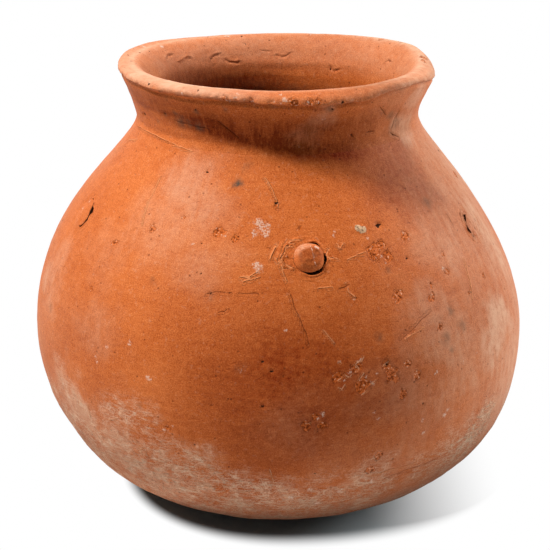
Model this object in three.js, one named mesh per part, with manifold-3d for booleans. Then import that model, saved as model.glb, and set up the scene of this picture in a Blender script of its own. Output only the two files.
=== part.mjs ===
// A round-bellied terracotta jar with clay studs on its shoulder, in millimetres, +Z up.
// The origin is the centre of the flat foot, and the front of the jar faces -Y.
// It is put together as a potter does it: a scraped base bowl, a body wall that laps over the bowl's
// bevelled edge, a neck collar that laps over the wall's edge, and studs whose pegs sit in sockets
// in the wall, each head ringed by a thin bed of luting clay.
import * as THREE from "three";
import { mergeVertices } from "three/addons/utils/BufferGeometryUtils.js";
import Module from "manifold-3d";

const wasm = await Module();
wasm.setup();

// Outer form: radii from the axis, and heights stacked from the foot to the lip
const FOOT_RADIUS = 27;
const FOOT_SWEEP = 50;
const BELLY_RADIUS = 111.5;
const BELLY_HEIGHT = 77;
const BELLY_SWELL = 46;
const SHOULDER_HEIGHT = 98;
const SHOULDER_SWELL = 53;
const WAIST_RADIUS = 62.5;
const WAIST_SWEEP = 14;
const NECK_HEIGHT = 19.5;
const NECK_SWEEP = 5;
const LIP_FLARE = 7;
const CREST_INSET = 6;
const CREST_RISE = 3.5;

// Thickness of the clay
const FLOOR_THICKNESS = 10;
const WALL_THICKNESS = 8;
const NECK_THICKNESS = 9;
const THROAT_SWEEP = 13;
const CREST_SWEEP = 5;

// Tapered lap joints: height of the outer edge of each joint, and how far the joint climbs inwards
const BASE_JOINT_HEIGHT = 43;
const BASE_JOINT_CLIMB = 8;
const NECK_JOINT_DROP = 3.5;
const NECK_JOINT_CLIMB = 8;
const LUTE_GAP = 0.3;

// Studs: a ring of pressed pellets below the neck's waist. An azimuth of 0 faces the front and a positive
// one lies to the right of it. Spread, press and lift are each pellet's own width, height and offset up
// the shoulder, as shares of the sizes named here.
const STUD_RING_DROP = 38.5;
const STUD_RADIUS = 6;
const STUD_HEIGHT = 2.8;
const STUDS = [
  { name: "front", azimuth: 8, spread: 1, press: 1, lift: 0.05 },
  { name: "right", azimuth: 67, spread: 1.04, press: 0.55, lift: -0.33 },
  { name: "rear_right", azimuth: 141, spread: 1, press: 0.95, lift: 0 },
  { name: "rear_left", azimuth: 216, spread: 1.02, press: 0.9, lift: 0.15 },
  { name: "left", azimuth: 292, spread: 1.07, press: 0.6, lift: 0.33 },
];
const PEG_RADIUS = 3;
const PEG_TIP_RADIUS = 2.2;
const PEG_LENGTH = 4.5;
const HEAD_EDGE_RADIUS = 1.1;
const BED_WIDTH = 4.2;
const BED_RISE = 1.1;
const FIT_GAP = 0.3;

// Fineness of the faceted surfaces
const TURN_SEGMENTS = 60;
const STUD_SEGMENTS = 16;
const BODY_STEPS = 10;
const NECK_STEPS = 5;
const LIP_STEPS = 4;
const EDGE_STEPS = 3;

// Heights and radii that follow from the sizes above
const waistHeight = BELLY_HEIGHT + SHOULDER_HEIGHT;
const lipHeight = waistHeight + NECK_HEIGHT;
const lipRadius = WAIST_RADIUS + LIP_FLARE;
const crestHeight = lipHeight + CREST_RISE;
const crestRadius = lipRadius - CREST_INSET;
const throatRadius = WAIST_RADIUS - NECK_THICKNESS;
const baseJointTop = BASE_JOINT_HEIGHT + BASE_JOINT_CLIMB;
const neckJointHeight = waistHeight - NECK_JOINT_DROP;
const neckJointTop = neckJointHeight + NECK_JOINT_CLIMB;

const point = (radius, height) => new THREE.Vector2(radius, height);

// Outer curves of the meridian, each running upwards
const lowerCurve = new THREE.CubicBezierCurve(
  point(FOOT_RADIUS, 0),
  point(FOOT_RADIUS + FOOT_SWEEP, 0),
  point(BELLY_RADIUS, BELLY_HEIGHT - BELLY_SWELL),
  point(BELLY_RADIUS, BELLY_HEIGHT),
);
const shoulderCurve = new THREE.CubicBezierCurve(
  point(BELLY_RADIUS, BELLY_HEIGHT),
  point(BELLY_RADIUS, BELLY_HEIGHT + SHOULDER_SWELL),
  point(WAIST_RADIUS, waistHeight - WAIST_SWEEP),
  point(WAIST_RADIUS, waistHeight),
);
const flareCurve = new THREE.QuadraticBezierCurve(
  point(WAIST_RADIUS, waistHeight),
  point(WAIST_RADIUS, waistHeight + NECK_SWEEP),
  point(lipRadius, lipHeight),
);

// Curves of the lip's rounded top, and of the throat that rises to its crest inside
const lipCurve = new THREE.QuadraticBezierCurve(
  point(lipRadius, lipHeight),
  point(lipRadius, crestHeight),
  point(crestRadius, crestHeight),
);
const throatCurve = new THREE.CubicBezierCurve(
  point(throatRadius, waistHeight),
  point(throatRadius, waistHeight + THROAT_SWEEP),
  point(crestRadius - CREST_SWEEP, crestHeight),
  point(crestRadius, crestHeight),
);

// The inner side of a stretch of wall, at a thickness that runs evenly from its start to its end.
function insideOf(curve, steps, startThickness, endThickness) {
  const inner = [];
  for (let i = 0; i <= steps; i += 1) {
    const t = i / steps;
    const tangent = curve.getTangent(t);
    const inward = point(-tangent.y, tangent.x);
    const thickness = THREE.MathUtils.lerp(startThickness, endThickness, t);
    inner.push(curve.getPoint(t).addScaledVector(inward, thickness));
  }
  return inner;
}

const outerBody = [...lowerCurve.getPoints(BODY_STEPS), ...shoulderCurve.getPoints(BODY_STEPS).slice(1)];
const outerMeridian = [...outerBody, ...flareCurve.getPoints(NECK_STEPS).slice(1)];
const innerBody = [
  ...insideOf(lowerCurve, BODY_STEPS, FLOOR_THICKNESS, WALL_THICKNESS),
  ...insideOf(shoulderCurve, BODY_STEPS, WALL_THICKNESS, NECK_THICKNESS).slice(1),
];
const innerMeridian = [...innerBody, ...throatCurve.getPoints(NECK_STEPS).slice(1)];

// The point of a meridian at a height, between two of its points.
function pointAt(meridian, height) {
  const above = meridian.findIndex((p) => p.y >= height);
  if (above <= 0) return meridian[0].clone();
  const low = meridian[above - 1];
  const high = meridian[above];
  return low.clone().lerp(high, (height - low.y) / (high.y - low.y));
}

// The stretch of a meridian between two heights, with both ends cut exactly.
// A point that lies almost on a cut is left out, so that no facet is a sliver.
function stretch(meridian, from, to) {
  const LEAST_STEP = 1;
  const between = meridian.filter((p) => p.y > from + LEAST_STEP && p.y < to - LEAST_STEP);
  return [pointAt(meridian, from), ...between, pointAt(meridian, to)];
}

// A solid of revolution about +Z from a profile that is closed by the axis or by itself.
function turned(profile, segments) {
  return new THREE.LatheGeometry(profile, segments).rotateX(Math.PI / 2);
}

// How far the upper piece of a lap joint is raised, so that the tapered faces lie a luting gap apart.
function lapRaise(outerHeight, innerHeight) {
  const seam = pointAt(outerMeridian, outerHeight).sub(pointAt(innerMeridian, innerHeight));
  return (LUTE_GAP * seam.length()) / Math.abs(seam.x);
}

const ring = (points) => [...points, points[0].clone()];
const baseRaise = lapRaise(BASE_JOINT_HEIGHT, baseJointTop);
const neckRaise = lapRaise(neckJointHeight, neckJointTop);

const baseProfile = [
  point(0, 0),
  ...stretch(outerMeridian, 0, BASE_JOINT_HEIGHT),
  ...stretch(innerMeridian, FLOOR_THICKNESS, baseJointTop).reverse(),
  point(0, FLOOR_THICKNESS),
];
const wallProfile = ring([
  ...stretch(outerMeridian, BASE_JOINT_HEIGHT + baseRaise, neckJointHeight),
  ...stretch(innerMeridian, baseJointTop + baseRaise, neckJointTop).reverse(),
]);
const collarProfile = ring([
  ...stretch(outerMeridian, neckJointHeight + neckRaise, lipHeight),
  ...lipCurve.getPoints(LIP_STEPS).slice(1, -1),
  ...stretch(innerMeridian, neckJointTop + neckRaise, crestHeight).reverse(),
]);

// A manifold-3d solid from a closed three.js geometry, and the geometry back from a solid.
function solidOf(geometry) {
  const bare = geometry.clone();
  bare.deleteAttribute("normal");
  bare.deleteAttribute("uv");
  const merged = mergeVertices(bare, 1e-4);
  return new wasm.Manifold(
    new wasm.Mesh({
      numProp: 3,
      vertProperties: merged.attributes.position.array,
      triVerts: new Uint32Array(merged.index.array),
    }),
  );
}

function geometryOf(solid) {
  const mesh = solid.getMesh();
  const geometry = new THREE.BufferGeometry();
  geometry.setAttribute("position", new THREE.BufferAttribute(mesh.vertProperties, 3));
  geometry.setIndex(new THREE.BufferAttribute(mesh.triVerts, 1));
  geometry.computeVertexNormals();
  return geometry;
}

// Where a stud stands: its seat's own +Z points straight out of the wall.
function seatOf(stud) {
  const height = waistHeight - STUD_RING_DROP + stud.lift * STUD_RADIUS;
  const seat = pointAt(outerMeridian, height);
  const below = pointAt(outerMeridian, height - STUD_RADIUS);
  const along = pointAt(outerMeridian, height + STUD_RADIUS).sub(below);
  const turn = new THREE.Matrix4().makeRotationZ(THREE.MathUtils.degToRad(stud.azimuth - 90));
  const tilt = new THREE.Matrix4().makeRotationY(Math.atan2(along.y, -along.x));
  const place = new THREE.Matrix4().makeTranslation(seat.x, 0, seat.y);
  return turn.multiply(place).multiply(tilt);
}

// A stud: a tapered peg below the wall's surface and a low domed head above it.
function studGeometry(stud) {
  const headRadius = STUD_RADIUS * stud.spread;
  const headTop = STUD_HEIGHT * stud.press;
  const edge = Math.min(HEAD_EDGE_RADIUS, headTop / 2);
  const profile = [point(0, -PEG_LENGTH), point(PEG_TIP_RADIUS, -PEG_LENGTH), point(PEG_RADIUS, FIT_GAP)];
  profile.push(point(headRadius, FIT_GAP));
  for (let i = 0; i <= EDGE_STEPS; i += 1) {
    const angle = (i / EDGE_STEPS) * (Math.PI / 2);
    const out = headRadius - edge + edge * Math.cos(angle);
    profile.push(point(out, headTop - edge + edge * Math.sin(angle)));
  }
  profile.push(point(0, headTop + FIT_GAP));
  return turned(profile, STUD_SEGMENTS);
}

// The socket that a stud's peg sits in.
function socketGeometry() {
  const breakout = PEG_RADIUS;
  const profile = [
    point(0, -PEG_LENGTH - FIT_GAP),
    point(PEG_TIP_RADIUS + FIT_GAP, -PEG_LENGTH - FIT_GAP),
    point(PEG_RADIUS + FIT_GAP, FIT_GAP),
    point(PEG_RADIUS + FIT_GAP, breakout),
    point(0, breakout),
  ];
  return turned(profile, STUD_SEGMENTS);
}

// The jar's outer body, filled, and grown outwards by a distance.
function filledBody(grow) {
  const lower = insideOf(lowerCurve, BODY_STEPS, -grow, -grow);
  const shoulder = insideOf(shoulderCurve, BODY_STEPS, -grow, -grow);
  const skin = [...lower, ...shoulder.slice(1)];
  const profile = [point(0, skin[0].y), ...skin, point(0, skin[skin.length - 1].y)];
  return solidOf(turned(profile, TURN_SEGMENTS));
}

// The bed of luting clay around a stud's head: a thin ring that follows the wall.
function bedGeometry(stud, seat, wallWithGap, wallWithBed) {
  const inner = STUD_RADIUS * stud.spread + FIT_GAP;
  const outer = inner + BED_WIDTH;
  const reach = BED_RISE + BED_WIDTH;
  const profile = [point(inner, -reach), point(outer, -reach), point(outer, reach), point(inner, reach)];
  const sleeve = solidOf(turned(ring(profile), STUD_SEGMENTS).applyMatrix4(seat));
  return geometryOf(sleeve.intersect(wallWithBed).subtract(wallWithGap));
}

const clay = (color, roughness) => new THREE.MeshStandardMaterial({ color, roughness, metalness: 0 });
const bodyClay = clay(0xb8623a, 0.8);
const scrapedClay = clay(0xa8684a, 0.9);
const neckClay = clay(0xb5653f, 0.82);
const studClay = clay(0xb05a34, 0.8);
const lutingClay = clay(0xb4603a, 0.9);

function named(name, geometry, material) {
  const mesh = new THREE.Mesh(geometry, material);
  mesh.name = name;
  return mesh;
}

const jar = new THREE.Group();
jar.add(named("base_bowl", turned(baseProfile, TURN_SEGMENTS), scrapedClay));
jar.add(named("neck_collar", turned(collarProfile, TURN_SEGMENTS), neckClay));

const wallWithGap = filledBody(FIT_GAP);
const wallWithBed = filledBody(BED_RISE);
let wall = solidOf(turned(wallProfile, TURN_SEGMENTS));
for (const stud of STUDS) {
  const seat = seatOf(stud);
  wall = wall.subtract(solidOf(socketGeometry().applyMatrix4(seat)));
  const head = named(`${stud.name}_stud`, studGeometry(stud), studClay);
  head.applyMatrix4(seat);
  jar.add(head);
  jar.add(named(`${stud.name}_stud_bed`, bedGeometry(stud, seat, wallWithGap, wallWithBed), lutingClay));
}
jar.add(named("body_wall", geometryOf(wall), bodyClay));

export default jar;
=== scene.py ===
"""A round-bellied terracotta jar with clay studs on its shoulder, dressed for its portrait.

The jar's skin is one surface, swept round the axis along the meridian and then pulled out of true, scraped,
pitted and chipped as a hand-made pot is. Its rows are shared out among the base bowl, the body wall and the
neck collar. The studs and their beds of luting clay are laid on that skin.
"""

import math

import bpy
import numpy as np
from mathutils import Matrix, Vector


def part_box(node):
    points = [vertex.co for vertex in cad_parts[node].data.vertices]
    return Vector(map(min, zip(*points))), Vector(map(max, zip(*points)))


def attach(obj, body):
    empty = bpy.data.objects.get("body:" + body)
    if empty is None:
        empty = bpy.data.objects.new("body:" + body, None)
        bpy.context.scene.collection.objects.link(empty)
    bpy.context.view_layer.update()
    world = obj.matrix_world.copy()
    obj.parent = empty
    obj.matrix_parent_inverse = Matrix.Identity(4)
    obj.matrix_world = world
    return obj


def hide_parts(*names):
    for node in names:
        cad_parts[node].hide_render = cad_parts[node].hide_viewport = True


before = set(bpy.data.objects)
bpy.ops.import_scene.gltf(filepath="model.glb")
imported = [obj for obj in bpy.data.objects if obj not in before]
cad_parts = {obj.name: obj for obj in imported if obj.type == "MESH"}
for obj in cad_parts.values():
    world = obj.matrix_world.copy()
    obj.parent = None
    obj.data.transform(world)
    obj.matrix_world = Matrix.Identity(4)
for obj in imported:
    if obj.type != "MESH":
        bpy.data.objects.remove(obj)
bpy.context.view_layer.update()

MM = 0.001

# Picture and camera: the camera stands in front of the jar, on the -Y side, and looks down at its axis
PICTURE_SIDE = 550
FOCAL_PIXELS = 1426
CAMERA_PITCH = math.radians(19.97)
CAMERA_DISTANCE = 660 * MM
CAMERA_SIDE = -0.93 * MM
AIM_HEIGHT = 97.3 * MM
SENSOR = 36

# Outer form, as the solids have it
FOOT_RADIUS = 27 * MM
FOOT_SWEEP = 50 * MM
BELLY_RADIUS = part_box("body_wall")[1].x
BELLY_HEIGHT = 77 * MM
BELLY_SWELL = 46 * MM
SHOULDER_SWELL = 53 * MM
WAIST_RADIUS = 62.5 * MM
WAIST_HEIGHT = 175 * MM
WAIST_SWEEP = 14 * MM
NECK_HEIGHT = 19.5 * MM
NECK_SWEEP = 5 * MM
LIP_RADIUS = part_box("neck_collar")[1].x
CREST_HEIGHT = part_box("neck_collar")[1].z
CREST_INSET = 6 * MM

# Thickness of the clay, and the lap joints between the pieces
FLOOR_THICKNESS = 10 * MM
WALL_THICKNESS = 8 * MM
NECK_THICKNESS = 9 * MM
THROAT_SWEEP = 13 * MM
CREST_SWEEP = 5 * MM
BASE_JOINT_HEIGHT = 43 * MM
BASE_JOINT_TOP = 51 * MM
NECK_JOINT_HEIGHT = 171.5 * MM
NECK_JOINT_TOP = 179.5 * MM

# Studs
STUD_RING_HEIGHT = WAIST_HEIGHT - 38.5 * MM
STUD_RADIUS = 6 * MM

# Fineness of the meshes
COLUMNS = 560
LINING_COLUMNS = 140
FRONT_CROWDING = 0.45
BASE_STEP = 1.0 * MM
WALL_STEP = 0.95 * MM
NECK_STEP = 0.5 * MM
LINING_STEP = 3 * MM


def smooth(low, high, value):
    """A soft step from 0 at low to 1 at high."""
    t = np.clip((value - low) / (high - low), 0, 1)
    return t * t * (3 - 2 * t)


def hump(middle, spread, value):
    """A soft hump of height 1 at the middle, gone a spread away on each side."""
    return 1 - smooth(0, spread, np.abs(value - middle))


def turn_between(a, b):
    """The shortest turn from one angle to another."""
    return (b - a + math.pi) % (2 * math.pi) - math.pi


def towards(direction, half_width, turns):
    """A soft hump about a direction, both in degrees, over turns in radians."""
    return hump(0, math.radians(half_width), turn_between(math.radians(direction), turns))


def bezier(controls, count):
    """Points of a Bezier curve of any degree."""
    t = np.linspace(0, 1, count)[:, None]
    level = [np.asarray(c, float) for c in controls]
    while len(level) > 1:
        level = [a * (1 - t) + b * t for a, b in zip(level, level[1:])]
    return level[0]


def unit(vectors):
    return vectors / np.maximum(np.linalg.norm(vectors, axis=-1, keepdims=True), 1e-12)


# Noise

def hashed(index, seed):
    """A number from -1 to 1 for each lattice point, always the same one."""
    h = index[..., 0] * 73856093 ^ index[..., 1] * 19349663 ^ index[..., 2] * 83492791 ^ seed * 2654435761
    h = (h & 0xFFFFFFFF).astype(np.uint64)
    h = ((h ^ (h >> np.uint64(15))) * np.uint64(2246822519)) & np.uint64(0xFFFFFFFF)
    h = ((h ^ (h >> np.uint64(13))) * np.uint64(3266489917)) & np.uint64(0xFFFFFFFF)
    return (h ^ (h >> np.uint64(16))).astype(float) / 0x7FFFFFFF - 1


def noise(points, cell, seed):
    """Smooth noise from -1 to 1, with cells of the given size along each axis."""
    scaled = points / np.asarray(cell, float)
    base = np.floor(scaled).astype(np.int64)
    part = scaled - base
    part = part * part * (3 - 2 * part)
    total = np.zeros(points.shape[:-1])
    for corner in range(8):
        step = np.array([corner & 1, corner >> 1 & 1, corner >> 2 & 1])
        weight = np.prod(np.where(step, part, 1 - part), axis=-1)
        total += weight * hashed(base + step, seed)
    return total


def rough(points, cell, seed, octaves=3):
    """Noise of several sizes, each half as large and half as strong as the one before."""
    cell = np.asarray(cell, float)
    return sum(noise(points, cell / 2**k, seed + k) / 2**k for k in range(octaves))


def crests(points, cell, seed):
    """Noise with sharp crests, from 0 in the troughs to 1 along the crests."""
    return 1 - np.abs(noise(points, cell, seed))


# The meridian

def inside_of(curve, start, end):
    """The inner side of a stretch of wall, at a thickness that runs evenly from start to end."""
    along = unit(np.gradient(curve, axis=0))
    thickness = np.linspace(start, end, len(curve))[:, None]
    return curve + np.stack([-along[:, 1], along[:, 0]], -1) * thickness


WAIST = (WAIST_RADIUS, WAIST_HEIGHT)
BELLY = (BELLY_RADIUS, BELLY_HEIGHT)
LIP = (LIP_RADIUS, WAIST_HEIGHT + NECK_HEIGHT)
CREST = (LIP_RADIUS - CREST_INSET, CREST_HEIGHT)
FOOT_POINTS = 50
BODY_POINTS = 400
NECK_POINTS = 100
LIP_POINTS = 60


def outer_meridian():
    """Stretches of radius and height from the centre of the foot, up the outside, to the crest of the lip."""
    foot = np.linspace((0, 0), (FOOT_RADIUS, 0), FOOT_POINTS)
    swept_foot = (FOOT_RADIUS + FOOT_SWEEP, 0)
    swelling = (BELLY_RADIUS, BELLY_HEIGHT - BELLY_SWELL)
    lower = bezier([(FOOT_RADIUS, 0), swept_foot, swelling, BELLY], BODY_POINTS)
    rounding = (BELLY_RADIUS, BELLY_HEIGHT + SHOULDER_SWELL)
    hollowing = (WAIST_RADIUS, WAIST_HEIGHT - WAIST_SWEEP)
    shoulder = bezier([BELLY, rounding, hollowing, WAIST], BODY_POINTS)
    flare = bezier([WAIST, (WAIST_RADIUS, WAIST_HEIGHT + NECK_SWEEP), LIP], NECK_POINTS)
    top = bezier([LIP, (LIP_RADIUS, CREST_HEIGHT), CREST], LIP_POINTS)
    return foot, lower, shoulder, flare, top


def inner_meridian(lower, shoulder):
    """Radius and height from the lip's crest, down the throat and the inside to the centre of the floor."""
    throat_radius = WAIST_RADIUS - NECK_THICKNESS
    swept = (CREST[0] - CREST_SWEEP, CREST_HEIGHT)
    narrowing = (throat_radius, WAIST_HEIGHT + THROAT_SWEEP)
    throat = bezier([CREST, swept, narrowing, (throat_radius, WAIST_HEIGHT)], NECK_POINTS)
    inner_lower = inside_of(lower, FLOOR_THICKNESS, WALL_THICKNESS)
    inner_shoulder = inside_of(shoulder, WALL_THICKNESS, NECK_THICKNESS)
    floor = np.linspace((FOOT_RADIUS, FLOOR_THICKNESS), (0, FLOOR_THICKNESS), FOOT_POINTS)
    return np.concatenate([throat, inner_shoulder[::-1][1:], inner_lower[::-1][1:], floor[1:]])


def path_lengths(line):
    return np.concatenate([[0], np.cumsum(np.linalg.norm(np.diff(line, axis=0), axis=1))])


STRETCHES = outer_meridian()
OUTER = np.concatenate([STRETCHES[0]] + [s[1:] for s in STRETCHES[1:]])
INNER = inner_meridian(STRETCHES[1], STRETCHES[2])
OUTER_PATH = path_lengths(OUTER)
LINE = np.concatenate([OUTER, INNER[1:]])
LINE_PATH = path_lengths(LINE)
CREST_PATH = OUTER_PATH[-1]
RIDGE_PATH = OUTER_PATH[-LIP_POINTS]


def on_line(path):
    """Radius and height of the meridian at a distance along it from the centre of the foot."""
    return np.interp(path, LINE_PATH, LINE[:, 0]), np.interp(path, LINE_PATH, LINE[:, 1])


def path_at(height, inside=False):
    """How far along the meridian a height lies, outside or inside the jar."""
    if inside:
        first = len(OUTER)
        return float(np.interp(-height, -LINE[first:, 1], LINE_PATH[first:]))
    return float(np.interp(height, OUTER[FOOT_POINTS:, 1], OUTER_PATH[FOOT_POINTS:]))


WAIST_PATH = path_at(WAIST_HEIGHT)

# How the potter's hands pulled the round form out of true: heights and sideways shifts in millimetres
SIDEWAYS = ((0, 1.0), (32, 2.4), (77, 0.6), (130, -1.0), (175, 0.0), (198, 0.0))
FULLNESS = 0.9 * MM
FULL_HEIGHT = 33 * MM
FULL_SPREAD = 30 * MM
LIP_LEAN = 2.75 * MM
LIP_SAG = 1.05 * MM
RIM_DEPTH = 12 * MM
OVAL = 0.003
OVAL_TURN = 0.6

# Rises of the lip's ridge and of its rim, in millimetres, each under its azimuth in degrees
RIDGE_RISES = (
    (-180, -150, -136, -120, -105, -85, 15, 29, 35, 42, 55, 66, 80, 90, 105, 116, 127, 140, 153, 166, 180),
    (-0.5, -0.5, 0, 1.2, 1.1, 0, 0, 1.0, 2.2, 4.1, 4.0, 2.9, 0.9, -0.2, 1.0, 2.4, 2.2, 1.8, 1.0, 0.2, -0.5),
)
RIM_RISES = (
    (-180, -150, -125, 85, 105, 113, 120, 127, 140, 153, 166, 180),
    (-0.4, -0.4, 0, 0, 1.0, 1.6, 1.4, 1.0, 0.6, 0.2, -0.2, -0.4),
)

# Corners of the rim: azimuth and half width in degrees, and size in millimetres
RIM_CORNERS = ((118, 34, 1.2), (80, 24, -0.8), (-116, 34, 0.9))


def formed(path, azimuth):
    """Places on the hand-formed jar: distance along the meridian, and azimuth from the front to the right."""
    radius, height = on_line(path)
    radius = radius * (1 + OVAL * np.cos(2 * azimuth + OVAL_TURN))
    radius = radius + FULLNESS * hump(FULL_HEIGHT, FULL_SPREAD, height)
    shift = np.full_like(radius, SIDEWAYS[0][1] * MM)
    for (low, before), (high, after) in zip(SIDEWAYS, SIDEWAYS[1:]):
        shift += (after - before) * MM * smooth(low * MM, high * MM, height)
    degrees = np.degrees(azimuth)
    flaring = smooth(WAIST_PATH, RIDGE_PATH, path)
    lip = flaring * (1 - smooth(RIDGE_PATH, CREST_PATH, path))
    sag = LIP_LEAN * np.sin(azimuth) + LIP_SAG * np.sin(azimuth) ** 2
    sag = sag - np.interp(degrees, *RIDGE_RISES) * MM
    rim = flaring * (1 - smooth(CREST_PATH, CREST_PATH + RIM_DEPTH, path))
    for direction, half_width, size in RIM_CORNERS:
        radius = radius + size * MM * rim * towards(direction, half_width, azimuth)
    height = height - lip * sag + rim * np.interp(degrees, *RIM_RISES) * MM
    return np.stack([radius * np.sin(azimuth) + shift, -radius * np.cos(azimuth), height], -1)


def grid_normals(points):
    """Outward unit normals of a grid of points that closes on itself along its columns."""
    down = np.gradient(points, axis=0)
    across = np.roll(points, -1, axis=1) - np.roll(points, 1, axis=1)
    return unit(np.cross(across, down))


def columns(count):
    """Azimuths round the jar, closer together at the front."""
    even = np.linspace(-math.pi, math.pi, count, endpoint=False)
    return even - FRONT_CROWDING * np.sin(even)


# The skin: rows from the edge of the foot, up the outside and down the throat

def rows_between(start, end, step):
    return np.linspace(start, end, max(2, round((end - start) / step) + 1))


BASE_JOINT = path_at(BASE_JOINT_HEIGHT)
NECK_JOINT = path_at(NECK_JOINT_HEIGHT)
THROAT_END = path_at(NECK_JOINT_TOP, inside=True)
BASE_ROWS = rows_between(FOOT_RADIUS, BASE_JOINT, BASE_STEP)
WALL_ROWS = rows_between(BASE_JOINT, NECK_JOINT, WALL_STEP)
NECK_ROWS = rows_between(NECK_JOINT, THROAT_END, NECK_STEP)
SKIN_PATH = np.concatenate([BASE_ROWS, WALL_ROWS[1:], NECK_ROWS[1:]])
SKIN_AZIMUTH = columns(COLUMNS)
PATH, AZIMUTH = np.meshgrid(SKIN_PATH, SKIN_AZIMUTH, indexing="ij")
FORM = formed(PATH, AZIMUTH)
NORMAL = grid_normals(FORM)
HEIGHT = FORM[..., 2]
DEGREES = np.degrees(AZIMUTH)
ON_NECK = smooth(NECK_JOINT - 4 * MM, NECK_JOINT + 6 * MM, PATH)
IN_THROAT = smooth(CREST_PATH, CREST_PATH + 4 * MM, PATH)


def waves(size, seed):
    """Smooth noise over the skin, with cells of a size in millimetres."""
    return noise(FORM, np.multiply(size, MM), seed)


def rugged(size, seed):
    """Noise of several sizes over the skin, the largest of them in millimetres."""
    return rough(FORM, np.multiply(size, MM), seed)


def facing(direction, half_width):
    """A soft hump over the skin about an azimuth, both in degrees."""
    return towards(direction, half_width, AZIMUTH)


# Height below which the potter scraped the clay, and how far below the ridge the lip's face ends in an edge:
# millimetres under their azimuths in degrees, as the front shows them
SCRAPED_TOP = (
    (-180, -120, -75, -57, -47, -38, -28, -21, -13, -8, 0, 6, 11, 17, 23, 36, 46, 63, 100, 150, 180),
    (50, 58, 66, 64, 67, 67, 67, 62, 60, 57, 52, 48, 40, 36, 38, 34, 36, 44, 56, 46, 50),
)
LIP_EDGE = (
    (-180, -60, -38, -22, -8, 5, 20, 32, 45, 60, 80, 110, 180),
    (0, -0.3, -0.6, -0.8, -0.2, 0.1, 0.2, 0.3, -0.2, -0.9, -1.4, -1.0, 0),
)

# How far each place lies in the scraped zone, from 0 to 1, and how far above the lip's edge
SCRAPED_EDGE = np.interp(DEGREES, *SCRAPED_TOP) * MM + 5 * MM * rugged(9, 41)
SCRAPED = 1 - smooth(SCRAPED_EDGE - 14 * MM, SCRAPED_EDGE + 4 * MM, HEIGHT)
FROM_EDGE = PATH - RIDGE_PATH + np.interp(DEGREES, *LIP_EDGE) * MM


def relief():
    """How far the hand-worked surface stands out of the form, in metres."""
    swells = 0.30 * waves(55, 1) + 0.12 * waves(22, 2)
    facets = 0.20 * rugged((13, 13, 7), 5) + 0.09 * waves(3.6, 9)
    wiping = 0.05 * waves((60, 60, 3.2), 12) + 0.03 * waves(2.4, 13)
    turning = 0.13 * waves((45, 45, 2.3), 15) + 0.07 * waves(2.6, 16)
    dents = 0.22 * waves(9, 18)
    on_lip = smooth(RIDGE_PATH - 2 * MM, RIDGE_PATH, PATH) * (1 - IN_THROAT)
    handled = (turning + 0.6 * dents) * (1 - 0.25 * on_lip) * (1 - 0.35 * IN_THROAT)
    tool = (1 - ON_NECK) * (SCRAPED * facets + (1 - SCRAPED) * wiping) + ON_NECK * handled

    # The lip's edge, rolled over in front and sharp elsewhere
    front = smooth(-85, -35, DEGREES) * (1 - smooth(62, 130, DEGREES))
    along = FROM_EDGE + 0.45 * MM * waves(6, 21) + 0.25 * MM * waves(2.4, 22)
    drop = (0.9 + 1.3 * facing(-36, 30)) * MM
    ledge = np.clip(np.minimum(1 - along / (3.6 * MM), 1 + along / drop), 0, 1)
    rolled = 0.95 * ledge - 0.9 * hump(0, 1.5 * MM, along + drop + 0.7 * MM)
    sharp = 0.18 * hump(0.5 * MM, 1.7 * MM, along) - 0.26 * hump(-2.1 * MM, 1.7 * MM, along)
    bead = front * rolled + (1 - front) * sharp

    # A fold down the throat at the back, and a flat place low on the left
    fold = 0.35 * facing(180, 55) * hump(CREST_PATH + 16 * MM, 4 * MM, PATH + 1.5 * MM * waves(30, 20))
    flat = -0.7 * facing(-64, 20) * hump(39 * MM, 11 * MM, HEIGHT)
    ends = 1 - smooth(THROAT_END - 6 * MM, THROAT_END, PATH)
    return MM * ends * (swells + tool + bead + fold + flat)


# Where the photograph shows each mark

EYE = np.array([
    CAMERA_SIDE,
    -CAMERA_DISTANCE * math.cos(CAMERA_PITCH),
    AIM_HEIGHT + CAMERA_DISTANCE * math.sin(CAMERA_PITCH),
])


def seen_at(points):
    """Pixels of the picture where places appear, and their directions to the camera."""
    ahead = np.array([0, math.cos(CAMERA_PITCH), -math.sin(CAMERA_PITCH)])
    above = np.array([0, math.sin(CAMERA_PITCH), math.cos(CAMERA_PITCH)])
    sight = points - EYE
    scale = FOCAL_PIXELS / (sight @ ahead)
    return PICTURE_SIDE / 2 + sight[..., 0] * scale, PICTURE_SIDE / 2 - (sight @ above) * scale, -unit(sight)


LEAST_FACING = 0.03
PIXEL_X, PIXEL_Y, TO_EYE = seen_at(FORM)
FACING = np.sum(NORMAL * TO_EYE, -1) > LEAST_FACING
OUTSIDE = PATH <= CREST_PATH + 1 * MM


def spot(x, y, throat=False):
    """Row and column of the skin point seen at a pixel, outside the jar or down its throat."""
    allowed = FACING & (~OUTSIDE if throat else OUTSIDE)
    away = np.where(allowed, (PIXEL_X - x) ** 2 + (PIXEL_Y - y) ** 2, np.inf)
    return np.unravel_index(np.argmin(away), away.shape)


# Tones of the clay, most of them from 0 to 1 over the skin, read by the materials. The line is the distance
# from a scratch in half widths, and its weight is below 0 on a ridge.
# Some tones also carry painted light: the fire and soot tones paint shade as well, the dust tone painted
# sheen and highlight, the scuff tone a painted highlight on the front stud's rim, the darkening of the foot
# is painted shade, and pits are painted dark with shade.
TONES = ("pit", "lime", "bare", "grit", "soot", "scuff", "dust", "fire", "foot_shade", "line", "line_weight")
FAR_LINE = 5.0
tone = {name: np.zeros(PATH.shape) for name in TONES}
tone["line"] += FAR_LINE
tone["scuff"] += SCRAPED * (1 - ON_NECK)
cut = np.zeros(PATH.shape)


def lay(kind, values):
    """Raises a tone to these values, where it is below them."""
    np.maximum(tone[kind], values, out=tone[kind])


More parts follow.
